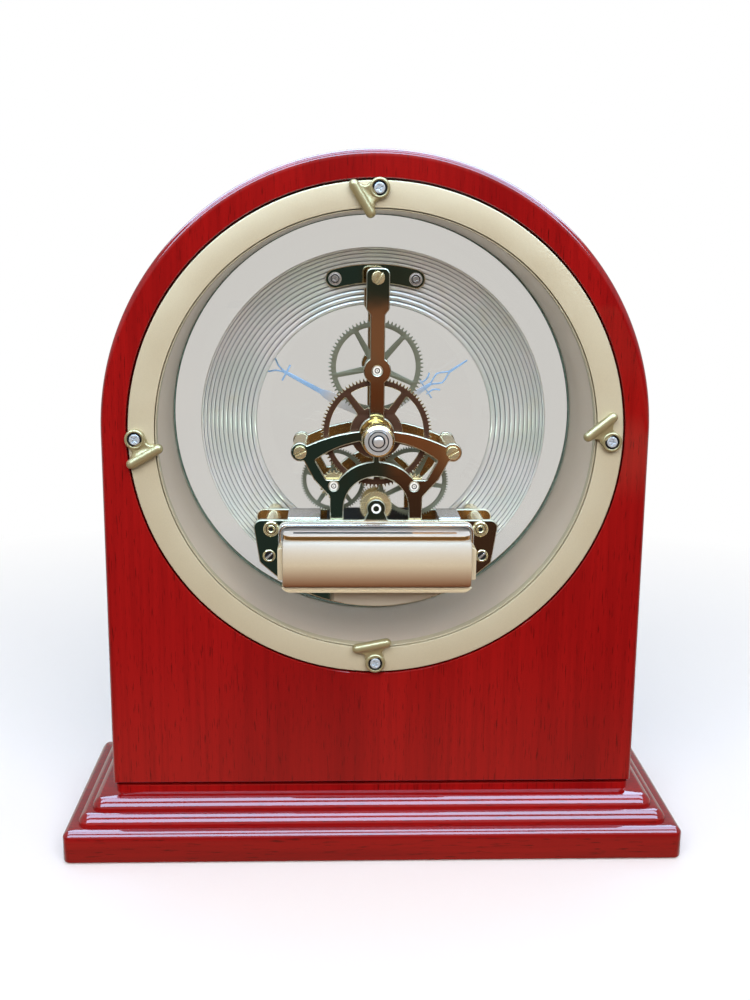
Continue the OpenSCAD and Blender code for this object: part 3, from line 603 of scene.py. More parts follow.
def base():
    tiers = [(0.0, BASE_LOW.z, SLAB_TOP, 3.9, 2.6)]
    for k in (1, 2):
        tiers.append((k * STEP_INSET, SLAB_TOP + (k - 1) * STEP_H, SLAB_TOP + k * STEP_H, 6.1, 4.4))
    loops = []
    half_w, half_d = BASE_HIGH.x, BASE_HIGH.y
    for k, (inset, z0, z1, nose, corner) in enumerate(tiers):
        profile = [(0.5, z0), (0.15, z0 + 0.12), (0, z0 + 0.4)] if k == 0 else [(inset, z0), (inset, z0 + 0.1)]
        profile += nose_profile(inset, z1, nose)
        for depth, z in profile:
            r = max(corner - (depth - inset), 0.4)
            loops.append([(x, y, z) for x, y in rounded_rectangle(half_w - depth, half_d - depth, r)])
    shape = Shape("wood_level")
    shape.loft(loops, caps=(True, True))
    shape.object("base_wood", ROOT, "mahogany", "base_plinth")


def case_outline(inset, lift):
    """Arched outline of the case, pulled in by inset and lifted by lift at the bottom."""
    bottom = BASE_HIGH.z + PLINTH_H + lift
    hw = CASE_HW - inset
    side, arch, foot = 36, 132, 48
    points = [(hw, bottom + (ARCH_Z - bottom) * i / side) for i in range(side)]
    points += [polar(hw, 180 * i / arch, (0, ARCH_Z)) for i in range(arch)]
    points += [(-hw, ARCH_Z - (ARCH_Z - bottom) * i / side) for i in range(side)]
    points += [(-hw + 2 * hw * i / foot, bottom) for i in range(foot)]
    return points


def case():
    rear, front = CASE_LOW.y, CASE_HIGH.y
    levels = [(EDGE_R + 0.4, rear)]
    for i in range(9):
        a = math.pi / 2 * i / 8
        levels.append((EDGE_R * (1 - math.sin(a)), rear + EDGE_R * (1 - math.cos(a))))
    levels += [(inset, rear + front - y) for inset, y in reversed(levels)]
    loops = [[(x, y, z) for x, z in case_outline(inset, 0.35 * inset)] for inset, y in levels]
    ways = [math.atan2(z - AXIS_Z, x) for x, _, z in loops[0]]
    # Radius and depth along the bore: the ring's seat, the dark gap round it, then the lining's hole
    seat_r, ledge_r, hole_r = RING_R + 0.65, RING_R - 0.6, BORE_R + 1.3
    seat_y, gap_y = RING_Y + 1.8, RING_Y + 6.8
    bore = [(seat_r + 0.2, rear), (seat_r, rear + 0.2), (seat_r, gap_y), (ledge_r, gap_y), (ledge_r, seat_y),
            (hole_r, seat_y), (hole_r, front - 0.3), (hole_r + 0.3, front)]
    inner = [[(r * math.cos(a), y, AXIS_Z + r * math.sin(a)) for a in ways] for r, y in bore]
    shape = Shape("wood_upright")
    shape.loft([*loops, *reversed(inner)], closed=True)
    low, high = BASE_HIGH.z - 0.05, BASE_HIGH.z + PLINTH_H
    strip = [(0.6, low), (0.6, high - 0.7), (3.5, high - 0.7), (3.5, high + 1.2)]
    shape.loft([[(x, y, z) for x, y in rounded_rectangle(CASE_HW - d, front - d, 2.6)] for d, z in strip],
               caps=(True, True))
    shape.object("case_wood", ROOT, "mahogany", "case_body", smooth=28)


def sleeve_and_ring():
    back = RING_Y + 4.4
    wall, front = BORE_R + 1.2, CASE_HIGH.y
    sleeve = Shape("sleeve")
    sleeve.turned([(BORE_R, back), (wall, back), (wall, front), (BORE_R, front)], steps=256, closed=True)
    sleeve.object("tube_sleeve_wall", ROOT, "sleeve_metal", "tube_sleeve")
    # The inner lip stands behind a narrow groove in the flat ring
    lip, y0, y1 = BORE_R - 0.2, RING_Y, RING_Y + 1.5
    profile = fillet([
        (lip, y0 + 0.4, 0.08), (lip + 0.22, y0 + 0.4), (lip + 0.22, y0 + 2.6), (lip + 0.55, y0 + 2.6),
        (lip + 0.55, y0, 0.1), (RING_R, y0, 0.35), (RING_R, y1, 0.2), (wall, y1), (wall, back, 0.2),
        (lip, back, 0.3),
    ], steps=4)
    ring = Shape("champagne")
    ring.turned(profile, steps=288, closed=True)
    ring.object("rear_ring_flange", ROOT, "champagne", "rear_ring", smooth=50)


def bezel():
    y0, y1 = span("front_bezel", 1)
    outer = span("front_bezel", 0)[1]
    profile = fillet([(BORE_R, y0), (BORE_R, y1 - 0.9, 0.4), (BORE_R + 1.4, y1, 0.9), (BORE_R + 5, y1 - 0.2, 3),
                      (outer, y0 + 0.7, 0.4), (outer, y0)], steps=6)
    ring = Shape("bezel_gold")
    ring.turned(profile, steps=256, closed=True)
    ring.object("front_bezel_ring", ROOT, "bezel_gold", "front_bezel", smooth=40)


def glass():
    y0, y1 = span("dial_glass", 1)
    holes = [circle(1.1, polar(DIAL_POST_R, a), 24) for a in DIAL_POST_WAYS]
    disc = Shape("glass")
    disc.plate([circle(BORE_R - 0.1, steps=256), *holes], y0, y1, 0.25, edge="glass_edge", steps=1)
    disc.object("dial_glass_disc", ROOT, "dial_glass", "dial_glass")


# ---------------------------------------------------------------- clips

CLIP_REACH = 5.8
CLIP_EYE_R = 3.05
# Distance and direction of each screw from the middle of the bore, and the direction of its clip
CLIPS = {
    "top": (71.7, 90, -148.5),
    "left": (71.8, 180.9, -60.5),
    "right": (70.4, -1.1, 129.5),
    "bottom": (70.8, 270, 101.3),
}


def on_clip(point, place, angle):
    """Moves a point from a clip's own frame (along, across, height above the ring) into place."""
    along, across, height = point
    x, z = turned([(along, across)], angle)[0]
    return (place[0] + x, RING_Y - 0.05 - height, AXIS_Z + place[1] + z)


def clip(name, distance, where, angle):
    """Cast clip: an eye with a counterbore, a broad hollow web and a half-round bar."""
    place = polar(distance, where)
    shape = Shape("cast_gold")

    def put(points):
        return [on_clip(point, place, angle) for point in points]

    def ring(r, height):
        return put([(x, z, height) for x, z in circle(r)])

    eye = fillet([(1.05, 0), (CLIP_EYE_R - 0.02, 0, 0.1), (CLIP_EYE_R, 1.65, 0.5), (2.55, 2.0, 0.25),
                  (2.2, 1.9, 0.12), (2.12, 1.0), (1.05, 1.0)], steps=4)
    shape.loft([ring(r, height) for r, height in eye], closed=True)
    # Black lining of the counterbore's wall and floor: painted shade in the recess.
    shape.loft([ring(2.13, 1.75), ring(2.13, 1.02), ring(1.06, 1.02)], material="black")
    # Stations along the web: distance from the screw, half width, height of the rim and of the hollow
    stations = [(1.6, 2.95, 1.75, 1.75), (2.25, 2.74, 1.75, 1.6), (2.8, 2.74, 1.75, 1.5), (3.3, 3.05, 1.8, 1.5),
                (3.8, 3.65, 1.9, 1.65), (4.3, 4.55, 2.0, 1.95), (4.8, 5.35, 2.0, 2.3), (5.4, 5.85, 1.8, 2.5)]
    sweep = [math.sin((-1 + 2 * i / 24) * math.pi / 2) for i in range(25)]
    web = []
    for x, half, rim, hollow in stations:
        loop = []
        for t in sweep:
            height = hollow + (rim - hollow) * min(abs(t) / 0.72, 1) ** 2
            loop.append((x, half * t, height * max(1 - abs(t) ** 14, 0) ** 0.5))
        web.append(put([*loop, (x, half, 0), (x, -half, 0)]))
    shape.loft(web, caps=(True, True))
    bar_r, half_l, bar = 1.5, 4.6, []
    for t in sweep:
        across = (half_l + bar_r) * t
        r = math.sqrt(max(bar_r**2 - max(abs(across) - half_l, 0) ** 2, 0.0004))
        bar.append(put([(CLIP_REACH + x, across, max(bar_r - 0.1 + 1.05 * z, 0.0)) for x, z in circle(r, steps=24)]))
    shape.loft(bar, caps=(True, True))
    shape.object(f"clip_{name}_cast", f"clip_{name}_body", "cast_gold", f"clip_{name}", smooth=55)


def cross(r, w):
    """Outline of a cross recess."""
    corner = [(r, -w), (r, w), (w, w)]
    return [p for turn in range(4) for p in turned(corner, 90 * turn)]


def clip_screws():
    shape = Shape("zinc")
    top = RING_Y - 2.05
    for k, (distance, where, _) in enumerate(CLIPS.values()):
        place = polar(distance, where)
        recess = moved(turned(cross(1.0, 0.22), 20 + 31 * k), place)
        shape.plate([circle(1.58, place, 32), recess], top + 0.05, top + 0.6, 0.14)
        shape.rod(top + 0.45, top + 1.0, 1.55, 0.05, place, 32)
        shape.turned([(0.9, top + 1.0), (0.9, top + 4)], place, 24)
    shape.object("clip_cross_screws", ROOT, "zinc_screw", "clip_screws")


# ---------------------------------------------------------------- dial

DIAL_POST_R = 51.5
DIAL_POST_WAYS = (45, 135, 225, 315)
CHAPTER_IN = 37.6
RIDGES = 13


def chapter_ring():
    """Ring with rounded ridges on its back, wider towards the inner edge."""
    y0, y1 = span("chapter_ring", 1)
    edges = [CHAPTER_IN + (CHAPTER_R - CHAPTER_IN) * (1 - (1 - i / RIDGES) ** 1.2) for i in range(RIDGES + 1)]
    profile = [(CHAPTER_IN, y1)]
    for a, b in zip(edges, edges[1:]):
        for t in (k / 7 for k in range(7)):
            profile.append((a + (b - a) * t, y0 + 0.55 * (1 - math.sin(math.pi * t) ** 0.55)))
    profile += [(CHAPTER_R, y0 + 0.42), (CHAPTER_R, y1)]
    ring = Shape("chapter")
    ring.turned(profile, steps=288, closed=True)
    # Dark iron strips in the grooves between the ridges: painted shade.
    line = [(-0.2, 0.3), (-0.1, 0.33), (0.1, 0.33), (0.2, 0.3)]
    for r in edges[1:-1]:
        ring.turned([(r + x, y0 + depth) for x, depth in line], steps=288, material="iron")
    ring.object("chapter_ring_turned", ROOT, "chapter_silver", "chapter_ring", smooth=40)


NUMERALS = ("XII", "I", "II", "III", "IIII", "V", "VI", "VII", "VIII", "IX", "X", "XI")


def stroke(x0, z0, x1, z1, width):
    """Bar between two points."""
    a, b = Vector((x0, z0)), Vector((x1, z1))
    across = Vector((z0 - z1, x1 - x0)).normalized() * width / 2
    return [tuple(a - across), tuple(b - across), tuple(b + across), tuple(a + across)]


def hour_markers():
    """Roman numerals on the dial side, upright towards the rim."""
    y0, y1 = span("hour_markers", 1)
    low, high, thick, thin = 41.2, 48.4, 0.95, 0.35
    shape = Shape("black")
    for hour, letters in enumerate(NUMERALS):
        widths = [{"I": 1.7, "V": 3.6, "X": 3.8}[c] for c in letters]
        x = -sum(widths) / 2
        bars = []
        for letter, width in zip(letters, widths):
            left, right, mid = x + 0.45, x + width - 0.45, x + width / 2
            if letter == "I":
                bars.append(stroke(mid, low, mid, high, thick))
            elif letter == "V":
                bars += [stroke(mid, low, left, high, thick), stroke(mid, low, right, high, thin)]
            else:
                bars += [stroke(right, low, left, high, thick), stroke(left, low, right, high, thin)]
            x += width
        half = sum(widths) / 2
        bars += [stroke(-half, z, half, z, thin) for z in (low, high)]
        for bar in bars:
            # seen from the dial side x runs the other way
            points = turned([(-px, pz) for px, pz in bar], 30 * hour)
            shape.plate([points], y0 + 0.02, y1 - 0.1, 0)
    shape.object("hour_numerals", ROOT, "marker_black", "hour_markers")


def dial_posts():
    posts, screws = Shape("brass"), Shape("brass")
    y0, y1 = span("chapter_ring", 1)[1], span("dial_glass", 1)[0]
    head = span("dial_screws", 1)[1]
    for a in DIAL_POST_WAYS:
        place = polar(DIAL_POST_R, a)
        posts.rod(y0, y1, 2.0, 0.25, place, 32)
        screws.turned([(0, head), (1.5, head), (2.1, head - 0.4), (2.1, head - 1), (0, head - 1)], place, 32)
    posts.object("dial_post_rods", ROOT, "brass_wheel", "dial_posts")
    screws.object("dial_screw_heads", ROOT, "brass_wheel", "dial_screws")


# ---------------------------------------------------------------- movement plates

TOP_DIR, LEFT_DIR, RIGHT_DIR = 90.0, 231.0, 305.7
CENTRE_TEETH, CENTRE_M = 90, 0.367
TOP_TEETH, LEFT_TEETH, RIGHT_TEETH = 14, 22, 18
WHEEL_M = 0.265
TOP_P = polar(CENTRE_M * (CENTRE_TEETH + TOP_TEETH) / 2, TOP_DIR)
LEFT_P = polar(CENTRE_M * (CENTRE_TEETH + LEFT_TEETH) / 2, LEFT_DIR)
RIGHT_P = polar(CENTRE_M * (CENTRE_TEETH + RIGHT_TEETH) / 2, RIGHT_DIR)
LEFT_WHEEL_TEETH, LOWER_TEETH = 75, 35
LOWER_MESH = WHEEL_M * (LEFT_WHEEL_TEETH + LOWER_TEETH) / 2
LOWER_P = (0.0, LEFT_P[1] - math.sqrt(LOWER_MESH**2 - LEFT_P[0] ** 2))
MINUTE_P = (0.0, -7.5)

STRAP_TOP, STRAP_NECK, STRAP_SCREW = 49.2, 36.5, 46.35
STRAP_HW, STRAP_HEAD_HW = 2.25, 3.5
BOSS_R, HUB_R = 4.15, 5.35
ARM_END, ARM_END_R = (23.1, -5.6), 2.85
LEG_OUT, LEG_IN = 14.1, 9.9
ARCH_C = (0.0, -23.0)
BRIDGE_R = 14.6
BEVEL = 0.28


def plate_outline(foot, head=STRAP_TOP):
    """Right half of a movement plate, from the top of the strap down to the foot, then mirrored."""
    arm_c, arm_r = (0.0, -47.9), 49.0
    start = math.degrees(math.asin(STRAP_HW / BOSS_R))
    half = [
        (STRAP_HEAD_HW, head, 1.9),
        (STRAP_HEAD_HW, STRAP_NECK + 0.7, 0.9),
        (STRAP_HW, STRAP_NECK - 0.9, 0.9),
        *arc(TOP_P, BOSS_R, 90 - start, start - 90, 16, (0.5, 0.5)),
        *arc((0, 0), HUB_R, 90 - math.degrees(math.asin(STRAP_HW / HUB_R)), 9.0, 12, (0.5, 0.6)),
        *arc(arm_c, arm_r, 83.6, 64.6, 14, (0, 0.5)),
        *arc(ARM_END, ARM_END_R, 132, -112, 18, (0.5, 0.5)),
        (19.0, -14.0, 1.2),
        (LEG_OUT, -19.4, 1.6),
        (LEG_OUT, foot, 0),
        (LEG_IN, foot, 0),
        *arc(ARCH_C, LEG_IN, 0, 88, 18),
    ]
    return fillet(half + mirror(half))


def window_outline():
    """Window between the right arm and the bridge."""
    arm_c, arm_r = (0.0, -32.9), 31.0
    points = [
        *arc(arm_c, arm_r, 80.6, 53.2, 14, (0.3, 0.5)),
        (15.2, -14.1, 0.6),
        (11.35, -14.0, 0.5),
        *arc(ARCH_C, BRIDGE_R, 38.5, 86.3, 14, (0.3, 0.4)),
        *arc((0, 0), HUB_R + 0.15, -80.5, -25.5, 8, (0.3, 0.3)),
    ]
    return fillet(points)


def plate_holes():
    """Windows beside the hub and holes for the bushings, the same in both plates."""
    window = window_outline()
    return [window, mirror(window), *(circle(1.45, p, 28) for p in (TOP_P, LEFT_P, RIGHT_P))]


def gold_plate(name, node, outlines, y0, y1, bevel, material="plate"):
    """One flat polished piece with a bright edge."""
    shape = Shape(material)
    shape.plate(outlines, y0, y1, bevel, edge="plate_edge", steps=1)
    shape.object(name, ROOT, "gold_mirror", node, smooth=20)


def rear_plate():
    outlines = [plate_outline(-31.0), *plate_holes()]
    gold_plate("rear_plate_polished", "rear_plate", outlines, PLATE_Y, PLATE_Y1, BEVEL)


def front_plate():
    y0, y1 = FRONT_PLATE_Y, CHAPTER_Y
    shape = Shape("front_gold")
    shape.plate([plate_outline(-45.0, 43.9), *plate_holes()], y0, y1 - 0.02, 0.2, edge="plate_edge", steps=1)
    shape.plate([rectangle(-LEG_OUT, -45, LEG_OUT, -39, 0.4)], y0 + 0.05, y1 - 0.05, 0.1)
    shape.plate([fillet([(-2, -9.5, 1.9), (2, -9.5, 1.9), (2, -4), (-2, -4)])], y0, y1, 0.1)
    shape.object("front_plate_polished", ROOT, "gold_mirror", "front_plate", smooth=20)


BRACKET_R, BRACKET_HW, BRACKET_A = 47.2, 3.0, 15.5


def top_bracket():
    r, hw, a = BRACKET_R, BRACKET_HW, BRACKET_A
    outline = [
        *arc((0, 0), r + hw, 90 + a, 90 - a, 24),
        *arc(polar(r, 90 - a), hw, 90 - a, -90 - a, 14),
        *arc((0, 0), r - hw, 90 - a, 90 + a, 24),
        *arc(polar(r, 90 + a), hw, a - 90, a - 270, 14),
    ]
    y = FRONT_PLATE_Y
    gold_plate("top_bracket_bar", "top_bracket", [fillet(outline)], y, CHAPTER_Y, 0.25)
    screws = Shape("nickel")
    head = [(0, -0.4), (1.3, -0.4), (1.42, -0.6), (1.9, -0.5), (2.05, -0.3), (2.05, 0)]
    for s in (-1, 1):
        place = polar(r, 90 + s * a)
        screws.turned([(x, y + depth) for x, depth in head], place, 36)
        # Black ring in the groove of the screw head: painted shade.
        screws.turned([(1.3, y - 0.42), (1.05, y - 0.42)], place, 32, material="black")
        recess = moved(turned(cross(0.7, 0.2), 25 * s), place)
        screws.plate([circle(1.05, place, 24), recess], y - 0.7, y - 0.4, 0.08)
    screws.object("bracket_cross_screws", ROOT, "nickel", "bracket_screws")
    post = Shape("brass")
    post.rod(PLATE_Y1, y, 2.3, 0.3, (0, STRAP_SCREW), 40)
    post.object("top_post_rod", ROOT, "brass_wheel", "top_post")


def half_disc(r, gap, centre, angle, steps=20):
    """One half of a slotted screw head."""
    edge = math.degrees(math.asin(gap / r))
    return moved(turned([polar(r, edge + (180 - 2 * edge) * i / steps) for i in range(steps + 1)], angle), centre)


def slotted_head(shape, place, r, rear, height, angle, slot):
    """Cheese-head screw: a disc with a slot in its rear half."""
    middle = rear + height * 0.45
    shape.turned([(0, middle), (r - 0.05, middle), (r - 0.05, rear + height), (0, rear + height)], place, 40)
    for turn in (0, 180):
        shape.plate([half_disc(r, slot, place, angle + turn)], rear, middle + 0.02, 0.14)


def plate_screws():
    shape = Shape("brass")
    for place, angle in (((0, STRAP_SCREW), 62), ((-ARM_END[0], ARM_END[1]), 28), (ARM_END, 32)):
        slotted_head(shape, place, 1.95, PLATE_Y - 1.1, 1.1, angle, slot=0.36)
    shape.object("plate_slotted_screws", ROOT, "brass_wheel", "plate_screws")


def arm_pillars():
    shape = Shape("brass")
    for s in (-1, 1):
        shape.rod(PLATE_Y1, FRONT_PLATE_Y, 2.5, 0.35, (s * ARM_END[0], ARM_END[1]), 40)
    shape.object("arm_pillar_rods", ROOT, "brass_wheel", "arm_pillars")


def bushing(shape, place, y0, r, rise=0.14):
    """White collar round the end of the pivot, with a black ring in the gap between them as painted shade."""
    y1, top, gap, lip = y0 + PLATE_T, y0 - rise, r * 0.6, r * 0.4
    shape.turned([(gap, y0 + 0.4), (gap, top + 0.04), (gap + 0.06, top), (r - 0.1, top), (r, top + 0.1),
                  (r, y1), (gap, y1)], place, 40, closed=True)
    # Black ring in the gap: painted shade.
    shape.turned([(gap, y0 + 0.1), (lip, y0 + 0.1)], place, 32, material="black")


def pivot_bushings():
    shape = Shape("white")
    for place in (TOP_P, LEFT_P, RIGHT_P):
        for y in (PLATE_Y, FRONT_PLATE_Y):
            bushing(shape, place, y, 1.36)
    for y in (NEAR_Y, FAR_Y):
        bushing(shape, LOWER_P, y, 1.5, 0.2)
    for y in (PLATE_Y, FRONT_PLATE_Y):
        shape.turned([(1.06, y), (1.58, y), (1.58, y + PLATE_T), (1.06, y + PLATE_T)], (0, 0), 32, closed=True)
    shape.object("pivot_bushing_set", ROOT, "bushing_white", "pivot_bushings")


# ---------------------------------------------------------------- bottom module

MODULE_TOP, MODULE_R = -26.2, 53.6
# Upper and lower post of the right pair; the left pair mirrors it
POSTS = ((31.9, -28.9), (32.6, -37.4))
POST_R = 2.4
BLOCKS = ((-27.0, -17.0), (19.3, 26.0))


def module_outline(round_foot):
    """Bottom plate: a shallow hexagon with a tab at its top, and a round or a flat foot."""
    half = [(37.6, MODULE_TOP, 2.3), (35.5, -39.6, 1.5), (31.0, -43.5, 0.8)]
    if round_foot:
        a = math.degrees(math.asin(31.0 / MODULE_R))
        points = half + arc((0, 0), MODULE_R, a - 90, -90 - a, 24)[1:-1] + mirror(half)
    else:
        half.append((28, -44, 0))
        points = half + mirror(half)
    tab = [(-3.6, MODULE_TOP, 0.8), *arc(LOWER_P, 2.9, 205, -25, 18, (0.5, 0.5)), (3.6, MODULE_TOP, 0.8)]
    return fillet(points + tab)


def bottom_plates():
    slot = rectangle(-26, CELL_Z - 4.3, 26, CELL_Z + 4.3)
    gold_plate("bottom_plate_rear_polished", "bottom_plate_rear", [module_outline(round_foot=True), slot],
               NEAR_Y, PLATE_Y - 0.02, BEVEL)
    gold_plate("bottom_plate_front_polished", "bottom_plate_front", [module_outline(round_foot=False), slot],
               FAR_Y, FAR_Y + PLATE_T, 0.25, "front_gold")


def bottom_posts():
    posts, nuts, blocks = Shape("brass"), Shape("brass"), Shape("nickel")

    def nut(place, material, steps, *profile):
        """One ring of a nut: points of (radius, height above the near plate)."""
        nuts.turned([(r, NEAR_Y - height) for r, height in profile], place, steps, material=material)

    for s in (-1, 1):
        places = [(s * x, z) for x, z in POSTS]
        for place in places:
            posts.rod(PLATE_Y, FAR_Y, POST_R, 0.2, place, 40)
            posts.rod(FAR_Y + PLATE_T, CHAPTER_Y, POST_R, 0.2, place, 40)
        high, low = places
        # The black rings and discs in the nuts' grooves and centres are painted shade.
        nut(high, None, 40, (0.75, 0.3), (0.75, 1.2), (0.85, 1.3), (1.2, 1.3), (1.3, 1.18), (1.3, 0.7))
        nut(high, "black", 40, (1.3, 0.7), (1.6, 0.7))
        nut(high, None, 40, (1.6, 0.7), (1.6, 0.9), (1.72, 1.0), (2.15, 1.0), (2.35, 0.8), (2.35, 0))
        nut(high, "black", 24, (0, 0.3), (0.75, 0.3))
        nut(low, None, 40, (1.35, 0), (1.35, 0.37), (1.43, 0.45), (1.75, 0.45), (1.9, 0.3), (1.9, 0))
        nut(low, "black", 32, (0, 0.1), (1.35, 0.1))
        bar = moved(turned(rectangle(-1.3, -0.3, 1.3, 0.3), 42), low)
        nuts.plate([bar], NEAR_Y - 0.35, NEAR_Y, 0.05, material="nickel")
    for x0, x1 in BLOCKS:
        outline = [(x0, -35.4, 0.2), (x1, -35.4, 0.2), (x1, -25.8, 0.2), (x0, -25.8, 0.2)]
        blocks.plate([fillet(outline, 2)], PLATE_Y, FAR_Y, 0.3)
    posts.object("bottom_post_rods", ROOT, "brass_wheel", "bottom_posts")
    nuts.object("post_eyelet_nuts", ROOT, "brass_wheel", "post_nuts")
    blocks.object("spacer_block_pair", ROOT, "nickel", "spacer_blocks")


# ---------------------------------------------------------------- going train


def gear(teeth, module, phase):
    """Toothed outline with straight flanks and narrow tips."""
    pitch = 360 / teeth
    root, tip = module * (teeth / 2 - 1.25), module * (teeth / 2 + 0.95)
    points = []
    for i in range(teeth):
        a = phase + i * pitch
        points += [polar(root, a - 0.29 * pitch), polar(tip, a - 0.08 * pitch),
                   polar(tip, a + 0.08 * pitch), polar(root, a + 0.29 * pitch)]
    return points


def mesh_phase(direction, teeth_a, phase_a, teeth_b):
    """Phase of gear b that meshes with gear a when it stands in that direction from a."""
    return direction + 180 - 360 / teeth_b * (0.5 - (direction - phase_a) * teeth_a / 360)


def spoke_windows(rim, hub, width, first, spokes=5):
    """Openings between tapered spokes."""
    windows = []
    for i in range(spokes):
        a, b = first + i * 360 / spokes, first + (i + 1) * 360 / spokes
        outer, inner = (math.degrees(math.asin(w / 2 / r)) for w, r in ((width * 0.85, rim), (width * 1.15, hub)))
        windows.append(fillet([
            *arc((0, 0), rim, a + outer, b - outer, 16, (0.5, 0.5)),
            *arc((0, 0), hub, b - inner, a + inner, 8, (0.4, 0.4)),
        ]))
    return windows


FINISHES = {"bronze": ("bronze", "brass"), "steel": ("steel_wheel", None), "brass": ("brass", None)}
def wheel(node, body, finish, place, teeth, module, phase=0, windows=None, bore=0.8):
    """Toothed wheel; windows is the rim and hub radius, the spoke width and the first spoke's direction."""
    y0, y1 = span(node, 1)
    material, edge = FINISHES[finish]
    outlines = [gear(teeth, module, phase), *(spoke_windows(*windows) if windows else ()), circle(bore, steps=20)]
    shape = Shape(material)
    shape.plate([moved(o, place) for o in outlines], y0, y1, 0.07, edge=edge, steps=1)
    shape.object(f"{node}_{finish}", body, f"{finish}_wheel", node, smooth=25)


def wheels():
    towards = math.degrees(math.atan2(LOWER_P[1] - LEFT_P[1], LOWER_P[0] - LEFT_P[0]))
    phase = mesh_phase(towards, LEFT_WHEEL_TEETH, 0, LOWER_TEETH)
    wheel("centre_wheel", "centre", "bronze", (0, 0), CENTRE_TEETH, CENTRE_M, windows=(14.4, 8.0, 2.1, 55), bore=1.0)
    wheel("top_wheel", "top_train", "steel", TOP_P, 72, 0.397, windows=(12.3, 3.6, 1.7, 48))
    wheel("left_wheel", "left_train", "steel", LEFT_P, LEFT_WHEEL_TEETH, WHEEL_M, windows=(8.5, 3.0, 1.4, 20))
    wheel("right_wheel", "right_train", "steel", RIGHT_P, 82, WHEEL_M, windows=(9.3, 3.0, 1.5, 63))
    wheel("lower_wheel", "lower_train", "brass", LOWER_P, LOWER_TEETH, WHEEL_M, phase)
    wheel("drive_wheel", "lower_train", "brass", LOWER_P, 48, 0.2)


def arbor(side, place, y0, y1, pinion=None):
    """Polished shaft with pivots at both ends and, if given, a pinion (teeth, direction)."""
    shape = Shape("brass")
    tip, end = y0 - PLATE_T, y1 + PLATE_T - 0.2
    shape.turned([(0, tip + 0.1), (0.3, tip + 0.1), (0.42, tip + 0.25), (0.42, y0), (0.8, y0 + 0.15),
                  (0.8, y1 - 0.15), (0.42, y1), (0.42, end), (0, end)], place, 24)
    if pinion:
        teeth, direction = pinion
        low, high = span("centre_wheel", 1)
        shape.rod(high + 0.9, high + 2.2, 1.6, 0.2, place, 24)
        outline = gear(teeth, CENTRE_M, mesh_phase(direction, CENTRE_TEETH, 0, teeth))
        shape.plate([moved(outline, place)], low - 0.4, high + 0.4, 0.08)
    shape.turned([(0.17, tip + 0.03), (0.45, tip + 0.03), (0.52, tip + 0.1), (0.52, tip + 0.3)], place, 24,
                 material="white")
    # Black dot in the middle of the white end ring: painted shade.
    shape.turned([(0.0, tip + 0.06), (0.17, tip + 0.06)], place, 16, material="black")
    shape.object(f"{side}_arbor_shaft", f"{side}_train", "brass_wheel", f"{side}_arbor")


def arbors():
    arbor("top", TOP_P, PLATE_Y1, FRONT_PLATE_Y, (TOP_TEETH, TOP_DIR))
    arbor("left", LEFT_P, PLATE_Y1, FRONT_PLATE_Y, (LEFT_TEETH, LEFT_DIR))
    arbor("right", RIGHT_P, PLATE_Y1, FRONT_PLATE_Y, (RIGHT_TEETH, RIGHT_DIR))
    arbor("lower", LOWER_P, PLATE_Y, FAR_Y)


def centre_arbor_and_knob():
    y0, y1 = span("centre_arbor", 1)
    low, high = span("centre_wheel", 1)
    shaft = Shape("brass")
    for ends, r, chamfer, steps in (((y0, y1), 1.0, 0.2, 32), ((PLATE_Y1 + 0.1, low), 3.4, 0.25, 48),
                                    ((high, high + 2.4), 2.4, 0.3, 40)):
        shaft.rod(*ends, r, chamfer, (0, 0), steps)
    shaft.object("centre_arbor_shaft", "centre", "brass_wheel", "centre_arbor")

    y = span("set_knob", 1)[0]
    grip_r, teeth, steps = 4.85, 60, 240
    knob = Shape("bezel_gold")
    # Knurled grip: radius, depth behind the tip and depth of the cuts
    grip = [(grip_r - 0.75, 1.75, 0), (grip_r - 0.25, 2.0, 0.05), (grip_r, 2.35, 0.26), (grip_r, 6.6, 0.26),
            (grip_r - 0.3, 7.0, 0.05), (grip_r - 0.9, 7.2, 0)]
    loops = []
    for r, depth, cut in grip:
        wave = [abs((k * teeth / steps * 2) % 2 - 1) for k in range(steps)]
        points = [polar(r - cut * w, 360 * k / steps) for k, w in enumerate(wave)]
        loops.append([(x, y + depth, AXIS_Z + z) for x, z in points])
    knob.loft(loops)

    def turn(profile, steps=96, material=None):
        knob.turned([(r, y + depth) for r, depth in profile], steps=steps, material=material)

    # Turned front: bright rings with grooves between them, their walls and floors black as painted shade, and a
    # domed middle
    front = [[(grip_r - 0.75, 1.75), (4.0, 1.6), (3.95, 1.0), (3.8, 0.85), (3.15, 0.8), (3.05, 0.9)],
             [(2.75, 0.95), (2.65, 0.75), (2.1, 0.7), (1.95, 0.85)],
             [(1.6, 0.75), (1.5, 0.4), (1.2, 0.15), (0.6, 0.02), (0, 0)]]
    for ring in front:
        turn(ring, material="chrome")
    # Black groove linings: painted shade.
    for outer, inner in zip(front, front[1:]):
        (r0, d0), (r1, d1) = outer[-1], inner[0]
        turn([(r0, d0), (r0 - 0.02, 1.3), (r1 + 0.02, 1.3), (r1, d1)], material="black")
    end = PLATE_Y - 0.35 - y
    turn([(grip_r - 0.9, 7.2), (3.4, 7.5), (3.2, 8.2), (2.4, 8.6), (2.4, end), (0, end)], steps=64)
    knob.object("set_knob_knurled", "centre", "bezel_gold", "set_knob", smooth=30)


# ---------------------------------------------------------------- motion work and hands

HOUR_LENGTH, MINUTE_LENGTH = 36.0, 47.0
HOUR_ANGLE, MINUTE_ANGLE = 33.3, 151.8


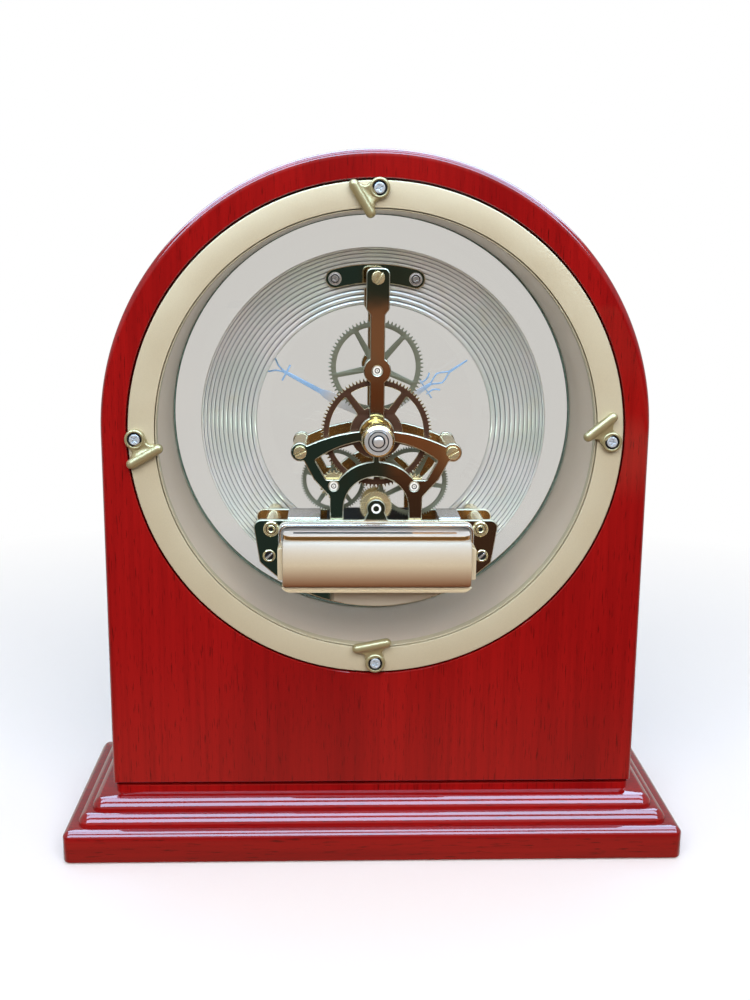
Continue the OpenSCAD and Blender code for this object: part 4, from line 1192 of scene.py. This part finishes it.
def motion_work():
    y, top = span("cannon_pinion", 1)
    low, high = span("hour_wheel", 1)
    y0, y1 = span("hand_nut", 1)
    cannon, minute, hour, nut = (Shape("brass") for _ in range(4))
    cannon.plate([gear(12, 0.3125, 0), circle(1.0, steps=20)], y, y + 1, 0.05)
    cannon.turned([(1.0, y + 1), (1.5, y + 1), (1.5, top - 0.1), (1.0, top - 0.1)], steps=32, closed=True)
    minute.plate([moved(gear(36, 0.3125, mesh_phase(-90, 12, 0, 36)), MINUTE_P)], y, y + 0.8, 0.05)
    minute.plate([moved(gear(10, 0.3, 0), MINUTE_P)], y + 0.8, y + 2.5, 0.05)
    minute.rod(FRONT_PLATE_Y + 0.1, y + 0.1, 0.42, 0.05, MINUTE_P, 20)
    hour.plate([gear(40, 0.3, mesh_phase(90, 10, 0, 40)), circle(1.57, steps=32)], low, low + 0.7, 0.05)
    hour.turned([(1.57, low), (2.08, low), (2.08, high - 0.05), (1.57, high - 0.05)], steps=40, closed=True)
    nut.turned([(0, y1), (1.3, y1), (1.85, y1 - 0.35), (1.85, y0 + 0.1), (1.0, y0 + 0.1)], steps=36)
    for shape, node, body in ((cannon, "cannon_pinion", "centre"), (minute, "minute_wheel", "minute_train"),
                              (hour, "hour_wheel", "hour_train"), (nut, "hand_nut", "centre")):
        shape.object(f"{node}_turned", body, "brass_wheel", node)


def ribbon(points, width):
    """Outline of a narrow strip that follows points."""
    path = [Vector(p) for p in points]
    left, right = [], []
    for i, here in enumerate(path):
        way = (path[min(i + 1, len(path) - 1)] - path[max(i - 1, 0)]).normalized()
        side = Vector((-way.y, way.x)) * width / 2
        left.append(tuple(here + side))
        right.append(tuple(here - side))
    return left + right[::-1]


def hands():
    """Pierced hands; every outline lies along x, with its distances as fractions of the length."""
    line = 0.52
    parts = {
        "hour_hand": (HOUR_LENGTH, HOUR_ANGLE, "hour_train"),
        "minute_hand": (MINUTE_LENGTH, MINUTE_ANGLE, "centre"),
    }
    for node, (length, angle, body) in parts.items():
        y0, y1 = span(node, 1)
        shape = Shape("blue")

        def put(outline, lift):
            points = turned([(x * length, z) for x, z in outline], angle)
            shape.plate([points], y0 + lift, y1 - lift, 0.08)

        def both(points, lift):
            for side in (-1, 1):
                path = ribbon([(x * length, side * z) for x, z in points], line)
                put([(x / length, z) for x, z in path], lift)

        if node == "hour_hand":
            rings = [circle(3.2), circle(2.1, steps=32)]
            stem = [(0.083, 1.2), (0.47, 0.95), (0.567, 0.62), (0.62, 0.42)]
            loop = [(0.607, 0.12), (0.635, 0.55), (0.665, 1.15), (0.705, 1.72), (0.745, 1.28), (0.78, 0.62),
                    (0.81, 0.15)]
            tip = [(0.795, 0.42), (0.9, 0.36), (1.0, 0.26)]
            bar = [(0.543, 4.1), (0.557, 4.1)]
            both([(0.527, 2.15), (0.56, 1.92), (0.595, 1.95), (0.625, 2.4), (0.655, 3.3)], 0.02)
        else:
            rings = [circle(2.8), circle(1.0, steps=24)]
            stem = [(0.055, 1.0), (0.28, 1.85), (0.36, 1.55), (0.415, 0.8), (0.47, 0.74), (0.66, 0.58),
                    (0.72, 0.45)]
            loop = [(0.70, 0.15), (0.73, 0.45), (0.757, 0.95), (0.79, 2.2), (0.84, 3.1), (0.90, 2.3), (0.95, 0.9),
                    (0.985, 0.3)]
            tip = [(0.965, 0.42), (1.0, 0.15)]
            bar = [(0.677, 2.85), (0.69, 2.85)]
        shape.plate([turned(ring, angle) for ring in rings], y0, y1, 0.08)
        for outline, lift in ((bar, 0.01), (stem, 0.03), (tip, 0.04)):
            put(outline + [(x, -z) for x, z in reversed(outline)], lift)
        both(loop, 0.05)
        shape.object(f"{node}_blued", body, "blue_steel", node)


# ---------------------------------------------------------------- battery

CELL_Z = -35.7
TRAY_HH = 8.9


def tray_outline(hw, hh, r):
    return rectangle(-hw, CELL_Z - hh, hw, CELL_Z + hh, r)


def battery_tray():
    """Shallow open tray on the near plate, with a side tab at each end and a bottom lip."""
    low, high = box("battery_housing")
    hw, floor_y, rim = high.x, high.y - 0.5, high.y - 3.6
    shape = Shape("nickel")
    shape.plate([tray_outline(hw, TRAY_HH, 2.6), tray_outline(hw - 1.0, TRAY_HH - 0.8, 1.8)], rim, floor_y, 0.3,
                material="front_gold", edge="nickel")
    shape.plate([tray_outline(hw, TRAY_HH, 2.2), tray_outline(26, 4.3, 0)], floor_y, high.y, 0.05, material="shelf")
    front = low.y - 0.5
    for s in (-1, 1):
        tab = [(s * (hw - 1.5), -42.3), (s * hw, -41.8), (s * hw, -32.8), (s * (hw - 1.5), -31.9)]
        shape.plate([fillet([(x, z, 0.3) for x, z in tab])], front, rim + 0.3, 0.15, material="front_lip")
    bottom = CELL_Z - TRAY_HH
    # Bottom lip in two steps, its ends cut back at an angle: depth, height and how far the end is cut
    lip = [(rim + 0.3, 0.2, 0.0), (front, 0.2, 0.0), (front - 0.3, 0.0, 0.0), (front - 0.3, -0.5, 0.5),
           (front - 0.05, -0.62, 0.6), (front - 0.05, -0.78, 0.8), (front - 0.3, -0.9, 0.9),
           (front - 0.2, -1.45, 2.0), (rim + 0.3, -1.5, 2.0)]
    loops = [[(s * (hw - 1.2 - cut), y, AXIS_Z + bottom + 0.2 + z) for y, z, cut in lip] for s in (-1, 1)]
    shape.loft(loops, material="front_lip", caps=(True, True))
    shape.object("battery_tray_shell", ROOT, "nickel", "battery_housing", smooth=25)


def battery_cover():
    """Cap: a flat shelf with rounded corners on top of a bowed front."""
    low, high = box("battery_cover")
    hw, back = high.x - 0.25, high.y + 4.2
    top, bottom = CELL_Z + 7.0, CELL_Z - 8.2
    shoulder = top - 1.25
    middle, hh = (shoulder + bottom) / 2, (shoulder - bottom) / 2
    bow_r, wall = 14.0, 0.45
    shape = Shape("cover")

    def section(inset):
        h, r = hh - inset, bow_r - inset
        a = math.asin((h - 0.5) / r)
        centre = low.y + bow_r
        flank = centre - r * math.cos(a) + 0.5
        bow = [(centre - r * math.cos(a * i / 10), middle + r * math.sin(a * i / 10)) for i in range(-10, 11)]
        return fillet([(back, middle - h), (flank, middle - h, 0.45), *bow, (flank, middle + h, 0.45),
                       (back, middle + h)], 3)

    def end_loop(x, shrink):
        """The wall's section at x, its outer side pulled in by shrink to round the end."""
        ring = []
        for y, z in outer:
            by_corner = abs(z - middle) > hh - 1
            ring.append((y + shrink if y < low.y + 4 else y, z - math.copysign(shrink, z - middle) * by_corner))
        return [(x, y, AXIS_Z + z) for y, z in ring + inner[::-1]]

    outer, inner = section(0), section(wall)
    ends = [(hw, 0.45), (hw - 0.13, 0.15), (hw - 0.45, 0)]
    shape.loft([*(end_loop(-x, cut) for x, cut in ends), *(end_loop(*end) for end in reversed(ends))],
               caps=(True, True))
    for s in (-1, 1):
        shape.loft([[(s * x, y, AXIS_Z + z) for y, z in inner] for x in (hw - 0.6, hw - 0.1)], caps=(True, True))
    # The shelf: plan corners rounded by 3.2, drawn as stacked loops of (x, y)
    front, corner = low.y + 3.35, 3.2
    plan = [(hw, back)] + [polar(corner, -90 * i / 8, (hw - corner, front + corner)) for i in range(9)]
    plan += [(-x, y) for x, y in reversed(plan)]

    def shelf(z, inset):
        return [(x * (1 - inset / hw), y + (inset if y < back else 0), AXIS_Z + z) for x, y in plan]

    # The shelf's vertical front face is dark brown gold: painted shade under its edge.
    shape.loft([shelf(shoulder - 0.1, 0), shelf(top - 0.2, 0), shelf(top - 0.05, 0.06)], material="front_gold")
    shape.loft([shelf(top - 0.05, 0.06), shelf(top, 0.2)], material="shelf", caps=(False, True))
    shape.object("battery_cover_cap", "cover_body", "cover_gold", "battery_cover", smooth=35)


KEPT = {
    "base_screws": "zinc",
    "felt_feet": "felt",
    "stator": "iron",
    "coil": "copper",
    "circuit_board": "board",
    "rotor": "iron",
    "battery": "cell",
    "battery_contacts": "nickel",
}


def kept_nodes():
    """CAD pieces whose plain shape is right only get a better material."""
    for node, material in KEPT.items():
        made = frame["nodes"][node]
        for slot in made.material_slots:
            slot.material = MATERIALS[material]


# ---------------------------------------------------------------- studio


def floor():
    """Pale floor that fades into the white surround away from the clock."""
    made = Material("studio_floor", rough=0.6, specular=0.2)
    cloud = made.remap(made.noise(300, detail=2), 0.3, 0.7)
    made.set(colour=made.mix(cloud, (0.86, 0.86, 0.86), (0.89, 0.89, 0.88)))
    made.bump(made.noise(2, detail=3), 0.02)
    away = made.node("VectorMath", {0: made.coords}, operation="LENGTH").outputs["Value"]
    made.shaders(made.remap(away, 0.14, 0.45), made.shader, made.node("Emission"))
    mesh = bpy.data.meshes.new("floor")
    size, steps = 4.0, 64
    mesh.from_pydata([(*polar(size, 360 * k / steps), 0) for k in range(steps)], [], [list(range(steps))])
    stage_only("floor", mesh, made)


def stage_only(name, mesh, material):
    """Adds a piece of the studio that lights nothing and shows in no reflection."""
    mesh.materials.append(material.made)
    sheet = bpy.data.objects.new(name, mesh)
    bpy.context.collection.objects.link(sheet)
    sheet.visible_glossy = False
    sheet.visible_diffuse = False
    sheet.visible_shadow = False


def dome():
    """White surround behind everything."""
    made = Material("surround")
    made.surface(made.node("Emission", {"Color": (1, 1, 1), "Strength": 1.0}))
    mesh = bpy.data.meshes.new("surround")
    work = bmesh.new()
    bmesh.ops.create_uvsphere(work, u_segments=48, v_segments=24, radius=4.2)
    work.to_mesh(mesh)
    work.free()
    stage_only("surround", mesh, made)


def world():
    """Dim room behind the camera, green-black to the left and brown to the right, brighter above."""
    made = bpy.data.worlds.new("room")
    made.use_nodes = True
    graph = Graph(made.node_tree)
    direction = graph.node("TexCoord").outputs["Generated"]
    across, ahead, height = graph.node("SeparateXYZ", {0: direction}).outputs
    mix = graph.mix

    def ramp(value, low, high):
        return graph.remap(value, low, high, interpolation_type="SMOOTHSTEP")

    def times(first, second):
        return graph.maths("MULTIPLY", first, second)

    dark, umber = (0.022, 0.036, 0.034), (0.045, 0.026, 0.020)
    brown, tan = (0.19, 0.085, 0.045), (0.42, 0.28, 0.18)
    below_strap = ramp(height, -0.040, -0.052)
    warm = mix(ramp(height, -0.205, -0.150), umber, brown)
    warm = mix(times(ramp(across, 0.085, 0.125), ramp(height, -0.205, -0.165)), warm, tan)
    room = mix(times(ramp(across, 0.040, 0.056), below_strap), dark, warm)
    strap = mix(ramp(height, -0.085, -0.115), (0.21, 0.115, 0.075), (0.14, 0.045, 0.020))
    room = mix(times(times(ramp(across, 0.012, 0.020), below_strap), ramp(height, -0.150, -0.125)), room, strap)
    room = mix(ramp(height, -0.30, -0.45), room, (0.30, 0.20, 0.14))
    room = mix(ramp(ahead, -0.2, 0.35), room, (0.60, 0.60, 0.58))
    background = made.node_tree.nodes["Background"].inputs
    graph.feed(background["Color"], mix(ramp(height, 0.02, 0.30), room, (0.50, 0.51, 0.54)))
    graph.feed(background["Strength"], 1.0)
    bpy.context.scene.world = made


LIGHT_DISTANCE = 1.2
LIGHT_AIM = (0, 0, 0.11)


def area_light(name, turn, size, radiance, colour, shown=True, cast=True):
    """Softbox aimed at the clock; turn is its height angle, 90 overhead and less towards the camera.

    shown lets it appear in reflections, cast lets it light matt surfaces.
    """
    a = math.radians(turn)
    way = Vector((0, -math.cos(a), math.sin(a)))
    data = bpy.data.lights.new(name, "AREA")
    data.shape = "RECTANGLE"
    data.size, data.size_y = size
    data.energy = radiance * math.pi * size[0] * size[1]
    data.color = colour
    lamp = bpy.data.objects.new(name, data)
    lamp.location = Vector(LIGHT_AIM) + way * LIGHT_DISTANCE
    lamp.rotation_mode = "QUATERNION"
    lamp.rotation_quaternion = (-way).to_track_quat("-Z", "Y")
    lamp.visible_glossy = shown
    lamp.visible_diffuse = cast
    bpy.context.collection.objects.link(lamp)


def lights():
    sky = (0.44, 0.70, 1.0)
    # The two front windows draw the two pale lines on each nose of the base
    area_light("window_behind", 119, (2.4, 0.95), 10.0, sky, cast=False)
    area_light("window_high", 78, (2.4, 0.42), 11.5, sky, cast=False)
    area_light("window_low", 47, (2.4, 0.40), 11.5, sky, cast=False)
    area_light("key", 35, (1.6, 0.8), 5.2, (1.0, 0.96, 0.97), shown=False)
    bpy.context.scene.view_settings.view_transform = "Standard"


# ---------------------------------------------------------------- assembly

make_camera()
base()
case()
sleeve_and_ring()
bezel()
glass()
for clip_name, clip_place in CLIPS.items():
    clip(clip_name, *clip_place)
clip_screws()
chapter_ring()
hour_markers()
dial_posts()
rear_plate()
front_plate()
top_bracket()
plate_screws()
arm_pillars()
pivot_bushings()
bottom_plates()
bottom_posts()
wheels()
arbors()
centre_arbor_and_knob()
motion_work()
hands()
battery_tray()
battery_cover()
kept_nodes()
floor()
dome()
world()
lights()
